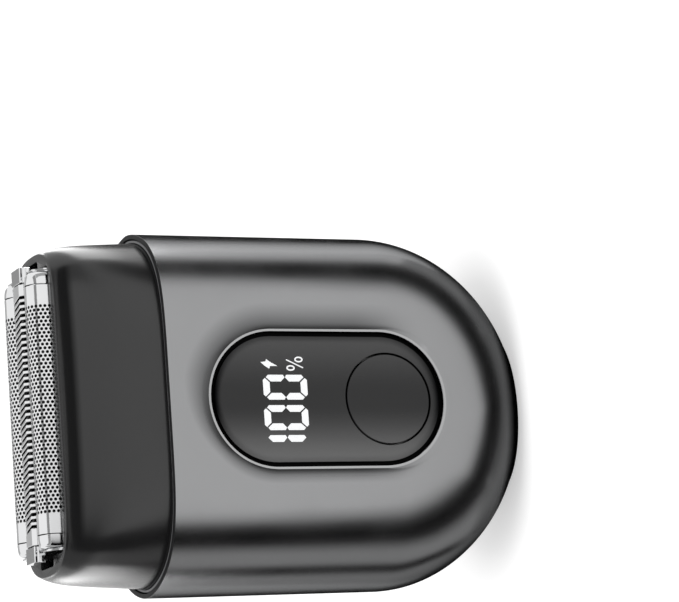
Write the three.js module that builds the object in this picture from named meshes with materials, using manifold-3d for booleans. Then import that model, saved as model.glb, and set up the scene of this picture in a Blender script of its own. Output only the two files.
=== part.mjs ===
// Compact foil shaver: metal shell on a flat base, display panel with power button,
// oscillating drive and a lift-off head with two foils and a centre trimmer.
// Millimetres, +Z up, front towards -Y, origin on the table under the middle of the base.
import * as THREE from 'three';
import { mergeVertices } from 'three/addons/utils/BufferGeometryUtils.js';
import Module from 'manifold-3d';

const wasm = await Module();
wasm.setup();

// ---------------------------------------------------------------- clearances
const seatGap = 0.3;          // between pieces that rest on one another
const slideGap = 0.2;         // between nested walls that slide past one another
const boreGap = 0.15;         // round a rail in its bore
const pressGap = 0.1;         // round a shaft that is pressed in
const fingerGap = 0.37;       // between the foils and the trimmer beside them
const airGap = 0.6;           // between moving pieces and what they pass
const overrun = 1;            // how far a cutting solid runs past the face it cuts
const sink = 0.5;             // how far a solid is sunk into the one it is joined to
const cornerTrim = 0.05;      // keeps a short flat between two rounded corners

// ---------------------------------------------------------------- sizes that drive the rest
const shellHalfWidth = 30;
const shellHalfDepth = 15.6;
const shellHeight = 65.3;

// ---------------------------------------------------------------- shell
const sideRoundness = 4.92;   // exponent across the width of the section
const faceRoundness = 1.68;   // exponent across the depth of the section
const bowlCentreZ = 24.9;     // where the straight sides turn into the bowl
const bowlHeight = 28;        // vertical half-axis of the bowl, cut flat by the base
const shellWall = 0.8;
const shellFloor = 1.6;
const rimChamfer = 0.25;
const turnWeight = 12;        // length that one radian of turn counts for in an outline
const outlineSteps = 40;
const bowlSteps = 6;
const pillSteps = 7;

// ---------------------------------------------------------------- collar and drive deck
const collarHeight = 3.6;
const collarLip = 0.3;
const ledgeDrop = 0.8;
const snapInset = 3.7;        // from the shell's side to the snap window in the collar
const deckThickness = 1.8;
const collarTopZ = shellHeight - slideGap;
const collarLedgeZ = collarTopZ - ledgeDrop;
const collarInset = shellWall + slideGap;
const deckTopZ = collarTopZ - collarHeight - seatGap;
const deckBottomZ = deckTopZ - deckThickness;

// ---------------------------------------------------------------- front panel
const panelBottomZ = 16.8;
const panelTopDrop = 7.1;     // from the shell's rim down to the top of the panel
const panelHalfWidth = 0.37 * shellHalfWidth;
const panelChamfer = 0.25;
const flareOut = 0.4;
const flareIn = 0.1;
const panelGroove = 0.75;
const panelTopZ = shellHeight - panelTopDrop;
const panelCentreZ = (panelTopZ + panelBottomZ) / 2;
const panelHalfStraight = (panelTopZ - panelBottomZ) / 2 - panelHalfWidth;
const lensRecess = 0.3;
const lensFlange = 0.8;       // how far the flange reaches behind the shell wall
const lensFlangeThickness = 0.9;
const lensEdge = 0.3;
const buttonInset = 3.65;     // from the panel's edge to the button's edge
const buttonDrop = 1.1;       // button below the middle of the panel's round end
const buttonFlange = 0.9;
const buttonFlangeThickness = 0.7;
const buttonTravel = 0.4;
const buttonRadius = panelHalfWidth - buttonInset;
const buttonZ = panelBottomZ + panelHalfWidth - buttonDrop;
const buttonSides = 30;

// ---------------------------------------------------------------- display, switch and board
const displayInset = 2.5;
const displayPlace = 0.432;   // share of the room between button and panel top
const displayShare = 0.477;
const boardThickness = 1;
const boardCorner = 2;
const switchSize = 6;
const switchHeight = 1.6;
const plungerRadius = 1.74;
const plungerLength = 0.65;
const lensFrontY = -(shellHalfDepth - lensRecess);
const lensFlangeFrontY = -(shellHalfDepth - shellWall - seatGap);
const lensBackY = lensFlangeFrontY + lensFlangeThickness;
const buttonBackY = lensBackY + seatGap + buttonFlangeThickness;
const plungerFrontY = buttonBackY + buttonTravel + slideGap;
const switchFrontY = plungerFrontY + plungerLength;
const boardFrontY = switchFrontY + switchHeight + seatGap;
const boardBackY = boardFrontY + boardThickness;
const displayRoomZ = buttonZ + buttonRadius + buttonFlange;
const displayHeight = displayShare * (panelTopZ - displayRoomZ);
const displayZ = displayRoomZ + displayPlace * (panelTopZ - displayRoomZ);
const displayHalfWidth = panelHalfWidth - displayInset;

// ---------------------------------------------------------------- socket and charging board
const socketWidth = 9;
const socketDepth = 3.3;
const socketHeight = 6.4;
const socketWall = 0.3;
const socketRecess = 0.5;     // socket's mouth above the flat base
const socketRoof = 1;
const tongueHalfWidth = 3.3;
const tongueHalfDepth = 0.35;
const tongueRecess = 0.8;
const chargeHalfDepth = 6;
const chargeCorner = 1.5;
const saddleBottomZ = socketRecess + socketHeight + boardThickness + 2 * seatGap;

// ---------------------------------------------------------------- cell, chassis and motor
const cellInset = 8.6;        // from the shell's face to the cell's radius
const cellEndInset = 8.5;
const cellRadius = shellHalfDepth - cellInset;
const cellLength = 2 * (shellHalfWidth - cellEndInset);
const cellSides = 22;
const cellY = 2;
const cellLift = 1.1;
const cellZ = saddleBottomZ + cellLift + cellRadius;
const nubReach = 0.7;
const nubRadius = 0.35 * cellRadius;
const chassisInset = 9;
const chassisBackInset = 4.8;
const chassisLift = 3.4;      // of the side walls above the cell
const chassisWall = 1.6;
const chassisHalfWidth = shellHalfWidth - chassisInset;
const chassisBackY = shellHalfDepth - chassisBackInset;
const chassisTopZ = deckBottomZ - seatGap;
const chassisBottomZ = cellZ + cellRadius + chassisLift;
const spineThickness = 1.2;
const spineLift = 1.4;        // of the back wall above the cell's axis
const spineBottomZ = cellZ + spineLift;
const saddleX = 0.4 * shellHalfWidth;
const saddleWidth = 2;
const boardTongueLift = 7;
const boardTongueZ = saddleBottomZ + boardTongueLift;
const screwInset = 0.8;
const screwX = chassisHalfWidth - screwInset;
const screwRadius = 1;
const screwBossRadius = 2.3;
const screwDepth = 8;
const screwBossFloor = 2;
const screwHeadRadius = 1.9;
const screwHeadHeight = 1;
const driveSlot = { length: 2.2, width: 0.5, depth: 0.6 };
const motorGap = 0.95;
const motorRadius = -boardBackY - motorGap;
const motorLength = 22;
const motorBossRadius = 3.2;
const motorBossLength = 1.5;
const motorBoreDepth = 9;
const motorTopZ = deckBottomZ - seatGap;
const shaftRadius = 1;
const shaftDepth = 8;

// ---------------------------------------------------------------- drive
const stroke = 0.8;           // eccentricity of the drive pin
const pinRadius = 1;
const camRadius = 3.2;
const camThickness = 3.2;
const railRadius = 0.8;
const railInset = 8.1;
const railLift = 6.8;
const railY = shellHalfDepth - railInset;
const railZ = deckTopZ + railLift;
const towerInset = 16.2;
const towerX = shellHalfWidth - towerInset;
const towerHalfWidth = 1.3;
const towerHalfDepth = 1.6;
const towerCorner = 0.6;
const towerReach = 1.5;
const towerTopZ = railZ + towerReach;
const deckRimWall = 1;
const deckRimHeight = 0.4;
const camBottomZ = Math.max(motorTopZ + motorBossLength, deckTopZ) + airGap;
const hubLift = 1.1;
const hubHeight = 4;
const hubBottomZ = camBottomZ + camThickness + hubLift;
const hubTopZ = hubBottomZ + hubHeight;
const pinDrop = 0.8;
const pinTopZ = hubTopZ - pinDrop;
const hubHalfWidth = 7.2;
const hubGap = 0.7;
const hubHalfDepth = railY - railRadius - hubGap;
const hubCorner = 1.2;
const yokeSlack = 0.3;
const earInset = 5.3;
const earX = towerX - earInset;
const earHalfWidth = 1.3;
const earReach = 1.9;         // of an ear past the middle of its rail
const earCorner = 1.7;
const linkInset = 1.5;
const linkDrop = 1.6;
const neckHalfWidth = 6;
const neckHalfDepth = 3.4;
const neckWall = 1.5;

// ---------------------------------------------------------------- head cover
const coverHeight = 16.6;     // above the shell's rim
const coverTopInset = 4;
const coverTopZ = shellHeight + coverHeight;
const coverTopHalfWidth = shellHalfWidth - coverTopInset;
const coverTopHalfDepth = 0.6538 * shellHalfDepth;
const coverTopSideRoundness = 8.7;
const coverTopFaceRoundness = 2.43;
const coverWidthBend = 0.44;  // share of the side's inward run that comes at its top
const coverDepthBend = 0.4;
const coverWall = 1.4;
const coverRoof = 1.5;
const coverSteps = 5;
const coverCrowding = 1.9;    // crowds the levels towards the top edge
const coverInset = collarInset + collarLip + slideGap;
const coverBottomZ = collarLedgeZ + seatGap;
const foilWindow = { margin: 0.5, corner: 1 };
const combWindow = { margin: 0.8, corner: 0.6 };

// ---------------------------------------------------------------- foils
const foilPitchY = 0.507 * coverTopHalfDepth;
const foilRadius = 0.245 * coverTopHalfDepth;
const foilThickness = 0.3;
const foilRise = 3;           // of the crown above the cover
const foilInset = 10;
const foilCrownZ = coverTopZ + foilRise;
const foilHalfLength = shellHalfWidth - foilInset;
const foilSkirt = 3.8;
const capLength = 2.45;
const capSwell = 0.05;
const capSlices = 4;
const capArcSteps = 7;
const capClosing = 0.94;      // how much of the quarter circle a cap's end runs through
const capPlateReach = 0.5;
const capPlateCorner = 0.5;
const capPlateLift = 0.05;
const capPlateThickness = 0.4;
const capPlug = 1.2;
const foilAxisZ = foilCrownZ - foilRadius;
const foilBottomZ = foilAxisZ - foilSkirt;
const capStartX = foilHalfLength + slideGap;
const capEndX = capStartX + capLength;
const capRadius = foilRadius + capSwell;
const floatTravel = 1.2;

// ---------------------------------------------------------------- centre trimmer
const combReach = 1.2;        // of the comb past the foils' ends
const combDrop = 0.2;
const combLift = 0.9;
const combHalfLength = foilHalfLength + combReach;
const combHalfWidth = foilPitchY - foilRadius - fingerGap;
const combTopZ = foilCrownZ - combDrop;
const combBottomZ = foilBottomZ + combLift;
const combWall = 0.45;
const combCapLength = 2.75;
const combCrownHalf = 1.35;
const combShoulder = 0.95;    // drop of the upper shoulder
const combEave = 1.7;         // drop from the crown to the straight walls
const combPlug = 1.4;
const combPlain = 2;          // unslotted length at each end
const slotPitch = 0.98;
const slotWidth = 0.5;
const slotDepth = 0.9;
const slotLead = 0.43;        // sideways run of a slot for each mm across the comb
const combEndX = combHalfLength + combCapLength;
const endBevel = 0.6;
const capCorner = [[0, 0.75], [0.15, 0.6], [0.3, 0.2], [0.5, 0]];   // inwards and down

// ---------------------------------------------------------------- blades and their posts
const cutterInset = 2.6;
const cutterHalfLength = foilHalfLength - cutterInset;
const cutterGap = 0.25;
const cutterRadius = foilRadius - foilThickness - cutterGap;
const bladePitch = 2.6;
const bladeThickness = 0.9;
const bladeRootDrop = 1.2;
const cutterDrop = 0.9;
const bladeRootZ = foilAxisZ - bladeRootDrop;
const cutterBottomZ = foilBottomZ - cutterDrop;
const trimmerToothDepth = 1.6;
const trimmerToothPitch = 2.2 * slotPitch;
const bridgeDrop = 3.6;
const bridgeTopZ = foilBottomZ - bridgeDrop;
const bridgePlate = 2;
const plateReachX = 2.2;
const plateReachY = 1.7;
const plateCorner = 1.6;
const plateWindow = { x: 7.1, halfWidth: 2.6, halfDepth: 0.9 };
const trimmerPostInset = 0.8;
const postX = foilHalfLength / 2;
const trimmerPostX = towerX - trimmerPostInset;
const postRadius = 0.6;
const postSides = 8;
const postReach = 2;
const postTopZ = cutterBottomZ + postReach;

// ---------------------------------------------------------------- frame in the head
const frameBottomZ = hubTopZ + airGap;
const frameFlange = 1.4;
const frameMargin = 0.35;
const frameCorner = 3;
const frameWindowCorner = 1.2;
const frameLap = 0.4;         // of the frame over a fully sunk foil
const frameTopZ = foilBottomZ - floatTravel + frameLap;
const pocketFloor = 1;
const pocketFloorZ = frameBottomZ + frameFlange + pocketFloor;
const legHalfWidth = 0.6 * foilRadius;
const legDrop = 1.9;
const legBottomZ = foilBottomZ - legDrop;
const legInset = { near: 0.4, far: 0.2 };
const legStartX = capStartX + legInset.near;
const legEndX = capEndX - legInset.far;
const combLegInset = { near: 0.5, far: 0.55, side: 0.65 };
const combLegStartX = combHalfLength + combLegInset.near;
const combLegEndX = combEndX - combLegInset.far;
const combLegHalfWidth = combHalfWidth - combLegInset.side;
const snapMargin = 0.9;
const snapX = shellHalfWidth - snapInset - snapMargin;
const snapArm = { thickness: 1, halfWidth: 3, lift: 0.8 };
const snapBump = { reach: 0.6, halfWidth: 2, lift: 1.2, height: 1.2 };

// ---------------------------------------------------------------- springs
const springSides = 4;
const springStepsPerTurn = 6;
const springTurns = 2.5;
const cutterSpring = { radius: 1.15, wire: 0.18 };
const foilSpring = { radius: 0.85, wire: 0.16 };
const combSpring = { radius: 0.7, wire: 0.16 };

// ---------------------------------------------------------------- materials
function finish(colour, metalness, roughness) {
  return new THREE.MeshStandardMaterial({ color: colour, metalness, roughness });
}
const gunmetal = finish(0x6e7073, 0.9, 0.38);
const blackPlastic = finish(0x1c1d1f, 0, 0.45);
const glossBlack = finish(0x141517, 0, 0.12);
const greyPlastic = finish(0x6a6c70, 0, 0.5);
const whitePlastic = finish(0xe6e6e2, 0, 0.5);
const mirrorChrome = finish(0xe9eaec, 1, 0.12);
const bladeSteel = finish(0xb9bcc0, 1, 0.3);
const springSteel = finish(0x9b9ea3, 1, 0.35);
const brassYellow = finish(0xc9a24a, 1, 0.3);
const boardGreen = finish(0x1f4d36, 0, 0.6);
const cellBlue = finish(0x2f5f8f, 0.1, 0.5);

// ---------------------------------------------------------------- solids
function solid(geometry) {
  const bare = geometry.clone();
  bare.deleteAttribute('normal');
  bare.deleteAttribute('uv');
  const merged = mergeVertices(bare, 1e-4);
  const vertProperties = new Float32Array(merged.attributes.position.array);
  const triVerts = new Uint32Array(merged.index.array);
  return new wasm.Manifold(new wasm.Mesh({ numProp: 3, vertProperties, triVerts }));
}

function join(first, ...others) {
  return others.reduce((sum, other) => sum.add(other), first);
}

function cut(first, ...others) {
  return others.reduce((rest, other) => rest.subtract(other), first);
}

function geometryOf(body) {
  const { vertProperties, triVerts } = body.getMesh();
  const geometry = new THREE.BufferGeometry();
  geometry.setAttribute('position', new THREE.BufferAttribute(vertProperties, 3));
  geometry.setIndex(new THREE.BufferAttribute(triVerts, 1));
  geometry.computeVertexNormals();
  return geometry;
}

function box(x0, x1, y0, y1, z0, z1) {
  const geometry = new THREE.BoxGeometry(x1 - x0, y1 - y0, z1 - z0);
  return solid(geometry.translate((x0 + x1) / 2, (y0 + y1) / 2, (z0 + z1) / 2));
}

// low and high end of a run along X that is mirrored for the left side
function alongX(side, near, far) {
  return [Math.min(side * near, side * far), Math.max(side * near, side * far)];
}

// round bar along Z between two heights
function barZ(x, y, radius, z0, z1, sides = 24) {
  const geometry = new THREE.CylinderGeometry(radius, radius, z1 - z0, sides);
  return solid(geometry.rotateX(Math.PI / 2).translate(x, y, (z0 + z1) / 2));
}

// round bar along X
function barX(x0, x1, y, z, radius, sides = 12) {
  const geometry = new THREE.CylinderGeometry(radius, radius, x1 - x0, sides);
  return solid(geometry.rotateZ(Math.PI / 2).translate((x0 + x1) / 2, y, z));
}

function extrusion(shape, depth, curveSegments) {
  return new THREE.ExtrudeGeometry(shape, { depth, bevelEnabled: false, curveSegments });
}

// shape drawn in X and Y, raised between two heights
function raised(shape, z0, z1, curveSegments = 8) {
  return solid(extrusion(shape, z1 - z0, curveSegments).translate(0, 0, z0));
}

// shape drawn in Y and Z, run along X
function runX(shape, x0, x1, curveSegments = 8) {
  const turn = new THREE.Matrix4().makeBasis(
    new THREE.Vector3(0, 1, 0), new THREE.Vector3(0, 0, 1), new THREE.Vector3(1, 0, 0));
  return solid(extrusion(shape, x1 - x0, curveSegments).applyMatrix4(turn).translate(x0, 0, 0));
}

// shape drawn in X and Z, run along Y from front to back
function runY(shape, yFront, yBack, curveSegments = 12) {
  const geometry = extrusion(shape, yBack - yFront, curveSegments).rotateX(Math.PI / 2);
  return solid(geometry.translate(0, yBack, 0));
}

function roundedRectangle(halfWidth, halfHeight, radius, x = 0, y = 0) {
  const shape = new THREE.Shape();
  shape.absarc(x + halfWidth - radius, y + halfHeight - radius, radius, 0, Math.PI / 2);
  shape.absarc(x - halfWidth + radius, y + halfHeight - radius, radius, Math.PI / 2, Math.PI);
  shape.absarc(x - halfWidth + radius, y - halfHeight + radius, radius, Math.PI, 1.5 * Math.PI);
  shape.absarc(x + halfWidth - radius, y - halfHeight + radius, radius, 1.5 * Math.PI, 2 * Math.PI);
  return shape;
}

// rounded upright panel between two heights, drawn in X and Z
function boardShape(halfWidth, lowZ, highZ, radius) {
  return roundedRectangle(halfWidth, (highZ - lowZ) / 2, radius, 0, (highZ + lowZ) / 2);
}

// closed skin through rings that all have the same number of points
function loft(rings) {
  const count = rings[0].length;
  const points = rings.flat();
  const faces = [];
  for (let level = 0; level + 1 < rings.length; level += 1) {
    for (let step = 0; step < count; step += 1) {
      const next = (step + 1) % count;
      const low = level * count;
      const high = low + count;
      faces.push(low + step, low + next, high + next);
      faces.push(low + step, high + next, high + step);
    }
  }
  const middle = (ring) => {
    const sum = ring.reduce((total, point) => total.add(point), new THREE.Vector3());
    return sum.divideScalar(count);
  };
  const last = (rings.length - 1) * count;
  const bottom = points.push(middle(rings[0])) - 1;
  const top = points.push(middle(rings[rings.length - 1])) - 1;
  for (let step = 0; step < count; step += 1) {
    const next = (step + 1) % count;
    faces.push(bottom, next, step);
    faces.push(top, last + step, last + next);
  }
  const geometry = new THREE.BufferGeometry().setFromPoints(points);
  geometry.setIndex(faces);
  return solid(geometry);
}

// ---------------------------------------------------------------- outlines
// points of a closed curve, spread evenly by length and by how far the curve turns
function spread(curve, count) {
  const fine = 2400;
  const samples = Array.from({ length: fine + 1 }, (_, i) => curve((i / fine) * 2 * Math.PI));
  const total = [0];
  let heading = null;
  for (let i = 1; i <= fine; i += 1) {
    const dx = samples[i].x - samples[i - 1].x;
    const dy = samples[i].y - samples[i - 1].y;
    const way = Math.atan2(dy, dx);
    let turn = heading === null ? 0 : Math.abs(way - heading);
    if (turn > Math.PI) turn = 2 * Math.PI - turn;
    heading = way;
    total.push(total[i - 1] + Math.hypot(dx, dy) + turnWeight * turn);
  }
  const ring = [];
  let at = 0;
  for (let k = 0; k < count; k += 1) {
    const goal = (total[fine] * k) / count;
    while (total[at + 1] < goal) at += 1;
    const share = (goal - total[at]) / (total[at + 1] - total[at]);
    ring.push(new THREE.Vector2().lerpVectors(samples[at], samples[at + 1], share));
  }
  return ring;
}

function signedPower(value, exponent) {
  return Math.sign(value) * Math.abs(value) ** exponent;
}

// rounded section: |x / halfWidth|^side + |y / halfDepth|^face = 1
function section(halfWidth, halfDepth, side, face, z) {
  const curve = (angle) => new THREE.Vector2(
    halfWidth * signedPower(Math.cos(angle), 2 / side),
    halfDepth * signedPower(Math.sin(angle), 2 / face));
  return spread(curve, outlineSteps).map((p) => new THREE.Vector3(p.x, p.y, z));
}

// section of the shell moved inwards by inset; below bowlCentreZ the sides draw in as a bowl
function shellSection(inset, z) {
  const halfWidth = shellHalfWidth - inset;
  const halfDepth = shellHalfDepth - inset;
  const drop = Math.max(0, (bowlCentreZ - z) / (bowlHeight - inset));
  const lost = drop ** sideRoundness;
  const curve = (angle) => {
    const reach = (lost + (1 - lost) * Math.cos(angle) ** 2) ** (2 / sideRoundness);
    const x = halfWidth * Math.sqrt(Math.max(0, reach - drop ** 2));
    const y = halfDepth * ((1 - lost) * Math.sin(angle) ** 2) ** (1 / faceRoundness);
    return new THREE.Vector2(Math.sign(Math.cos(angle)) * x, Math.sign(Math.sin(angle)) * y);
  };
  return spread(curve, outlineSteps).map((p) => new THREE.Vector3(p.x, p.y, z));
}

function bowlLevels(fromZ) {
  const start = Math.asin(Math.max(-1, (fromZ - bowlCentreZ) / bowlHeight));
  const levels = [];
  for (let step = 0; step <= bowlSteps; step += 1) {
    levels.push(bowlCentreZ + bowlHeight * Math.sin(start * (1 - step / bowlSteps)));
  }
  return levels;
}

function pillShape(radius) {
  const shape = new THREE.Shape();
  shape.absarc(0, panelCentreZ + panelHalfStraight, radius, 0, Math.PI);
  shape.absarc(0, panelCentreZ - panelHalfStraight, radius, Math.PI, 2 * Math.PI);
  return shape;
}

// flared pill between two planes across Y
function pillLoft(radiusIn, yIn, radiusOut, yOut) {
  const ring = (radius, y) => pillShape(radius).getPoints(pillSteps).slice(0, -1)
    .map((p) => new THREE.Vector3(p.x, y, p.y));
  return loft([ring(radiusIn, yIn), ring(radiusOut, yOut)]);
}

// round disc across Y, on the button's axis
function discY(radius, yFront, yBack, frontRadius = radius) {
  const geometry = new THREE.CylinderGeometry(radius, frontRadius, yBack - yFront, buttonSides);
  return solid(geometry.translate(0, (yFront + yBack) / 2, buttonZ));
}

// ---------------------------------------------------------------- shell and collar
function bodyShell() {
  const outer = bowlLevels(0).map((z) => shellSection(0, z));
  outer.push(shellSection(0, shellHeight - rimChamfer));
  outer.push(shellSection(rimChamfer, shellHeight));
  const inner = bowlLevels(shellFloor).map((z) => shellSection(shellWall, z));
  inner.push(shellSection(shellWall, shellHeight + overrun));
  const panelHole = runY(
    pillShape(panelHalfWidth), -shellHalfDepth - overrun, -shellHalfDepth / 2, pillSteps);
  const flare = pillLoft(
    panelHalfWidth - flareIn, -shellHalfDepth + panelChamfer + flareIn,
    panelHalfWidth + panelChamfer + flareOut, -shellHalfDepth - flareOut);
  const portHalfDepth = socketDepth / 2 + seatGap;
  const port = roundedRectangle(
    socketWidth / 2 + seatGap, portHalfDepth, portHalfDepth - cornerTrim);
  const portHole = raised(port, -overrun, shellFloor + overrun, 3);
  return cut(loft(outer), loft(inner), panelHole, flare, portHole);
}

function collarRing() {
  const bottomZ = deckTopZ + seatGap;
  const lipInset = collarInset + collarLip;
  const windowInset = snapInset - seatGap;
  return cut(
    loft([shellSection(collarInset, bottomZ), shellSection(collarInset, collarTopZ)]),
    loft([shellSection(lipInset, collarLedgeZ), shellSection(lipInset, collarTopZ + overrun)]),
    loft([shellSection(windowInset, bottomZ - overrun), shellSection(windowInset, collarTopZ)]));
}

// ---------------------------------------------------------------- front panel
function displayLens() {
  const plateRadius = panelHalfWidth - panelGroove;
  const plate = runY(pillShape(plateRadius), lensFrontY + lensEdge, lensBackY, pillSteps);
  const face = pillLoft(plateRadius, lensFrontY + lensEdge, plateRadius - lensEdge, lensFrontY);
  const flange = runY(
    pillShape(panelHalfWidth + lensFlange), lensFlangeFrontY, lensBackY, pillSteps);
  const hole = discY(buttonRadius + slideGap, lensFrontY - overrun, lensBackY + overrun);
  return cut(join(plate, face, flange), hole);
}

function powerButton() {
  const crown = discY(buttonRadius, lensFrontY, lensFrontY + lensEdge, buttonRadius - lensEdge);
  const body = discY(buttonRadius, lensFrontY + lensEdge, buttonBackY);
  const flange = discY(buttonRadius + buttonFlange, lensBackY + seatGap, buttonBackY);
  return join(crown, body, flange);
}

function displayModule() {
  return box(-displayHalfWidth, displayHalfWidth, lensBackY + seatGap, boardFrontY - seatGap,
    displayZ - displayHeight / 2, displayZ + displayHeight / 2);
}

function tactSwitch() {
  const half = switchSize / 2;
  const body = box(
    -half, half, switchFrontY, boardFrontY - seatGap, buttonZ - half, buttonZ + half);
  return join(body, discY(plungerRadius, plungerFrontY, switchFrontY + sink));
}

// ---------------------------------------------------------------- boards, chassis, cell and motor
function mainBoard() {
  const halfWidth = chassisHalfWidth - chassisWall - seatGap;
  const wide = boardShape(halfWidth, chassisBottomZ, chassisTopZ, boardCorner);
  const tongue = boardShape(switchSize, boardTongueZ, chassisTopZ - overrun, boardCorner);
  return join(
    runY(wide, boardFrontY, boardBackY, 2), runY(tongue, boardFrontY, boardBackY, 2));
}

function chassisFrame() {
  const pieces = [];
  const bores = [];
  for (const side of [-1, 1]) {
    const saddle = [side * saddleX - saddleWidth / 2, side * saddleX + saddleWidth / 2];
    pieces.push(
      box(...alongX(side, chassisHalfWidth - chassisWall, chassisHalfWidth),
        boardFrontY, chassisBackY, chassisBottomZ, chassisTopZ),
      barZ(side * screwX, 0, screwBossRadius,
        chassisTopZ - screwDepth - screwBossFloor, chassisTopZ, 16),
      box(...saddle, cellY - cellRadius, chassisBackY, saddleBottomZ, cellZ),
      box(...saddle, cellY, chassisBackY, cellZ - sink, cellZ + cellRadius));
    bores.push(barZ(side * screwX, 0, screwRadius + seatGap,
      chassisTopZ - screwDepth - seatGap, chassisTopZ + overrun, 10));
  }
  const spine = box(-chassisHalfWidth, chassisHalfWidth,
    chassisBackY - spineThickness, chassisBackY, spineBottomZ, chassisTopZ);
  const cellSpace = barX(-cellLength, cellLength, cellY, cellZ, cellRadius + seatGap, cellSides);
  return cut(join(spine, ...pieces), cellSpace, ...bores);
}

function batteryCell() {
  const endX = cellLength / 2;
  const nub = barX(endX - sink, endX + nubReach, cellY, cellZ, nubRadius);
  return join(barX(-endX, endX, cellY, cellZ, cellRadius, cellSides), nub);
}

function chargeBoard() {
  const topZ = saddleBottomZ - seatGap;
  const shape = roundedRectangle(saddleX + saddleWidth / 2, chargeHalfDepth, chargeCorner);
  return raised(shape, topZ - boardThickness, topZ, 2);
}

function usbSocket() {
  const topZ = socketRecess + socketHeight;
  const pill = (inset) => roundedRectangle(
    socketWidth / 2 - inset, socketDepth / 2 - inset, socketDepth / 2 - inset - cornerTrim);
  const can = cut(
    raised(pill(0), socketRecess, topZ, 3),
    raised(pill(socketWall), socketRecess - overrun, topZ - socketRoof, 3));
  const tongue = box(-tongueHalfWidth, tongueHalfWidth, -tongueHalfDepth, tongueHalfDepth,
    socketRecess + tongueRecess, topZ - sink);
  return join(can, tongue);
}

function motorCan() {
  const bottomZ = motorTopZ - motorLength;
  return cut(
    join(
      barZ(0, 0, motorRadius, bottomZ, motorTopZ, 24),
      barZ(0, 0, motorBossRadius, motorTopZ - sink, motorTopZ + motorBossLength, 20),
      barZ(0, 0, motorBossRadius, bottomZ - overrun, bottomZ + sink, 20)),
    barZ(0, 0, shaftRadius + seatGap,
      motorTopZ - motorBoreDepth, motorTopZ + motorBossLength + overrun, 16));
}

// ---------------------------------------------------------------- drive deck, rails and screws
function driveDeck() {
  const inset = shellWall + seatGap;
  const plate = loft([shellSection(inset, deckBottomZ), shellSection(inset, deckTopZ)]);
  const towers = [];
  const bores = [];
  for (const y of [-railY, railY]) {
    const halfHeight = (towerTopZ - deckTopZ + sink) / 2;
    const shape = roundedRectangle(
      towerHalfDepth, halfHeight, towerCorner, y, towerTopZ - halfHeight);
    for (const x of [-towerX, towerX]) {
      towers.push(runX(shape, x - towerHalfWidth, x + towerHalfWidth, 1));
    }
    const reach = towerX + towerHalfWidth + overrun;
    bores.push(barX(-reach, reach, y, railZ, railRadius + boreGap, 10));
  }
  const screwHoles = [-1, 1].map((side) => join(
    barZ(side * screwX, 0, screwRadius + seatGap, deckBottomZ - overrun, deckTopZ + overrun, 12),
    barZ(side * screwX, 0, screwHeadRadius + seatGap,
      deckTopZ - screwHeadHeight, deckTopZ + overrun, 16)));
  const bossRadius = motorBossRadius + seatGap;
  const boss = barZ(0, 0, bossRadius, deckBottomZ - overrun, deckTopZ + overrun, 20);
  const rimInner = bossRadius + deckRimWall;
  const rimOuter = rimInner + deckRimWall;
  const rim = new THREE.LatheGeometry([
    new THREE.Vector2(rimInner, -sink),
    new THREE.Vector2(rimOuter, -sink),
    new THREE.Vector2(rimOuter, deckRimHeight),
    new THREE.Vector2(rimInner, deckRimHeight),
    new THREE.Vector2(rimInner, -sink),
  ], 20).rotateX(Math.PI / 2).translate(0, 0, deckTopZ);
  return cut(join(plate, ...towers, solid(rim)), boss, ...screwHoles, ...bores);
}

function guideRail(side) {
  const half = towerX + towerHalfWidth - slideGap;
  return barX(-half, half, side * railY, railZ, railRadius);
}

function deckScrew(side) {
  const x = side * screwX;
  const headZ = deckTopZ - screwHeadHeight + seatGap;
  const topZ = headZ + screwHeadHeight;
  const shank = barZ(x, 0, screwRadius, chassisTopZ - screwDepth, headZ + sink, 12);
  const head = barZ(x, 0, screwHeadRadius, headZ, topZ, 16);
  const slot = (angle) => {
    const blade = new THREE.BoxGeometry(driveSlot.length, driveSlot.width, 2 * driveSlot.depth);
    return solid(blade.rotateZ(angle).translate(x, 0, topZ));
  };
  return cut(join(shank, head), slot(0), slot(Math.PI / 2));
}

function motorShaft() {
  const topZ = camBottomZ + camThickness / 2 - seatGap;
  return barZ(0, 0, shaftRadius, motorTopZ - shaftDepth, topZ, 16);
}

function eccentricCam() {
  const topZ = camBottomZ + camThickness;
  const disc = barZ(0, 0, camRadius, camBottomZ, topZ);
  const pin = barZ(0, -stroke, pinRadius, topZ - sink, pinTopZ, 16);
  const bore = barZ(0, 0, shaftRadius + pressGap,
    camBottomZ - overrun, camBottomZ + camThickness / 2, 16);
  return cut(join(disc, pin), bore);
}

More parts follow.
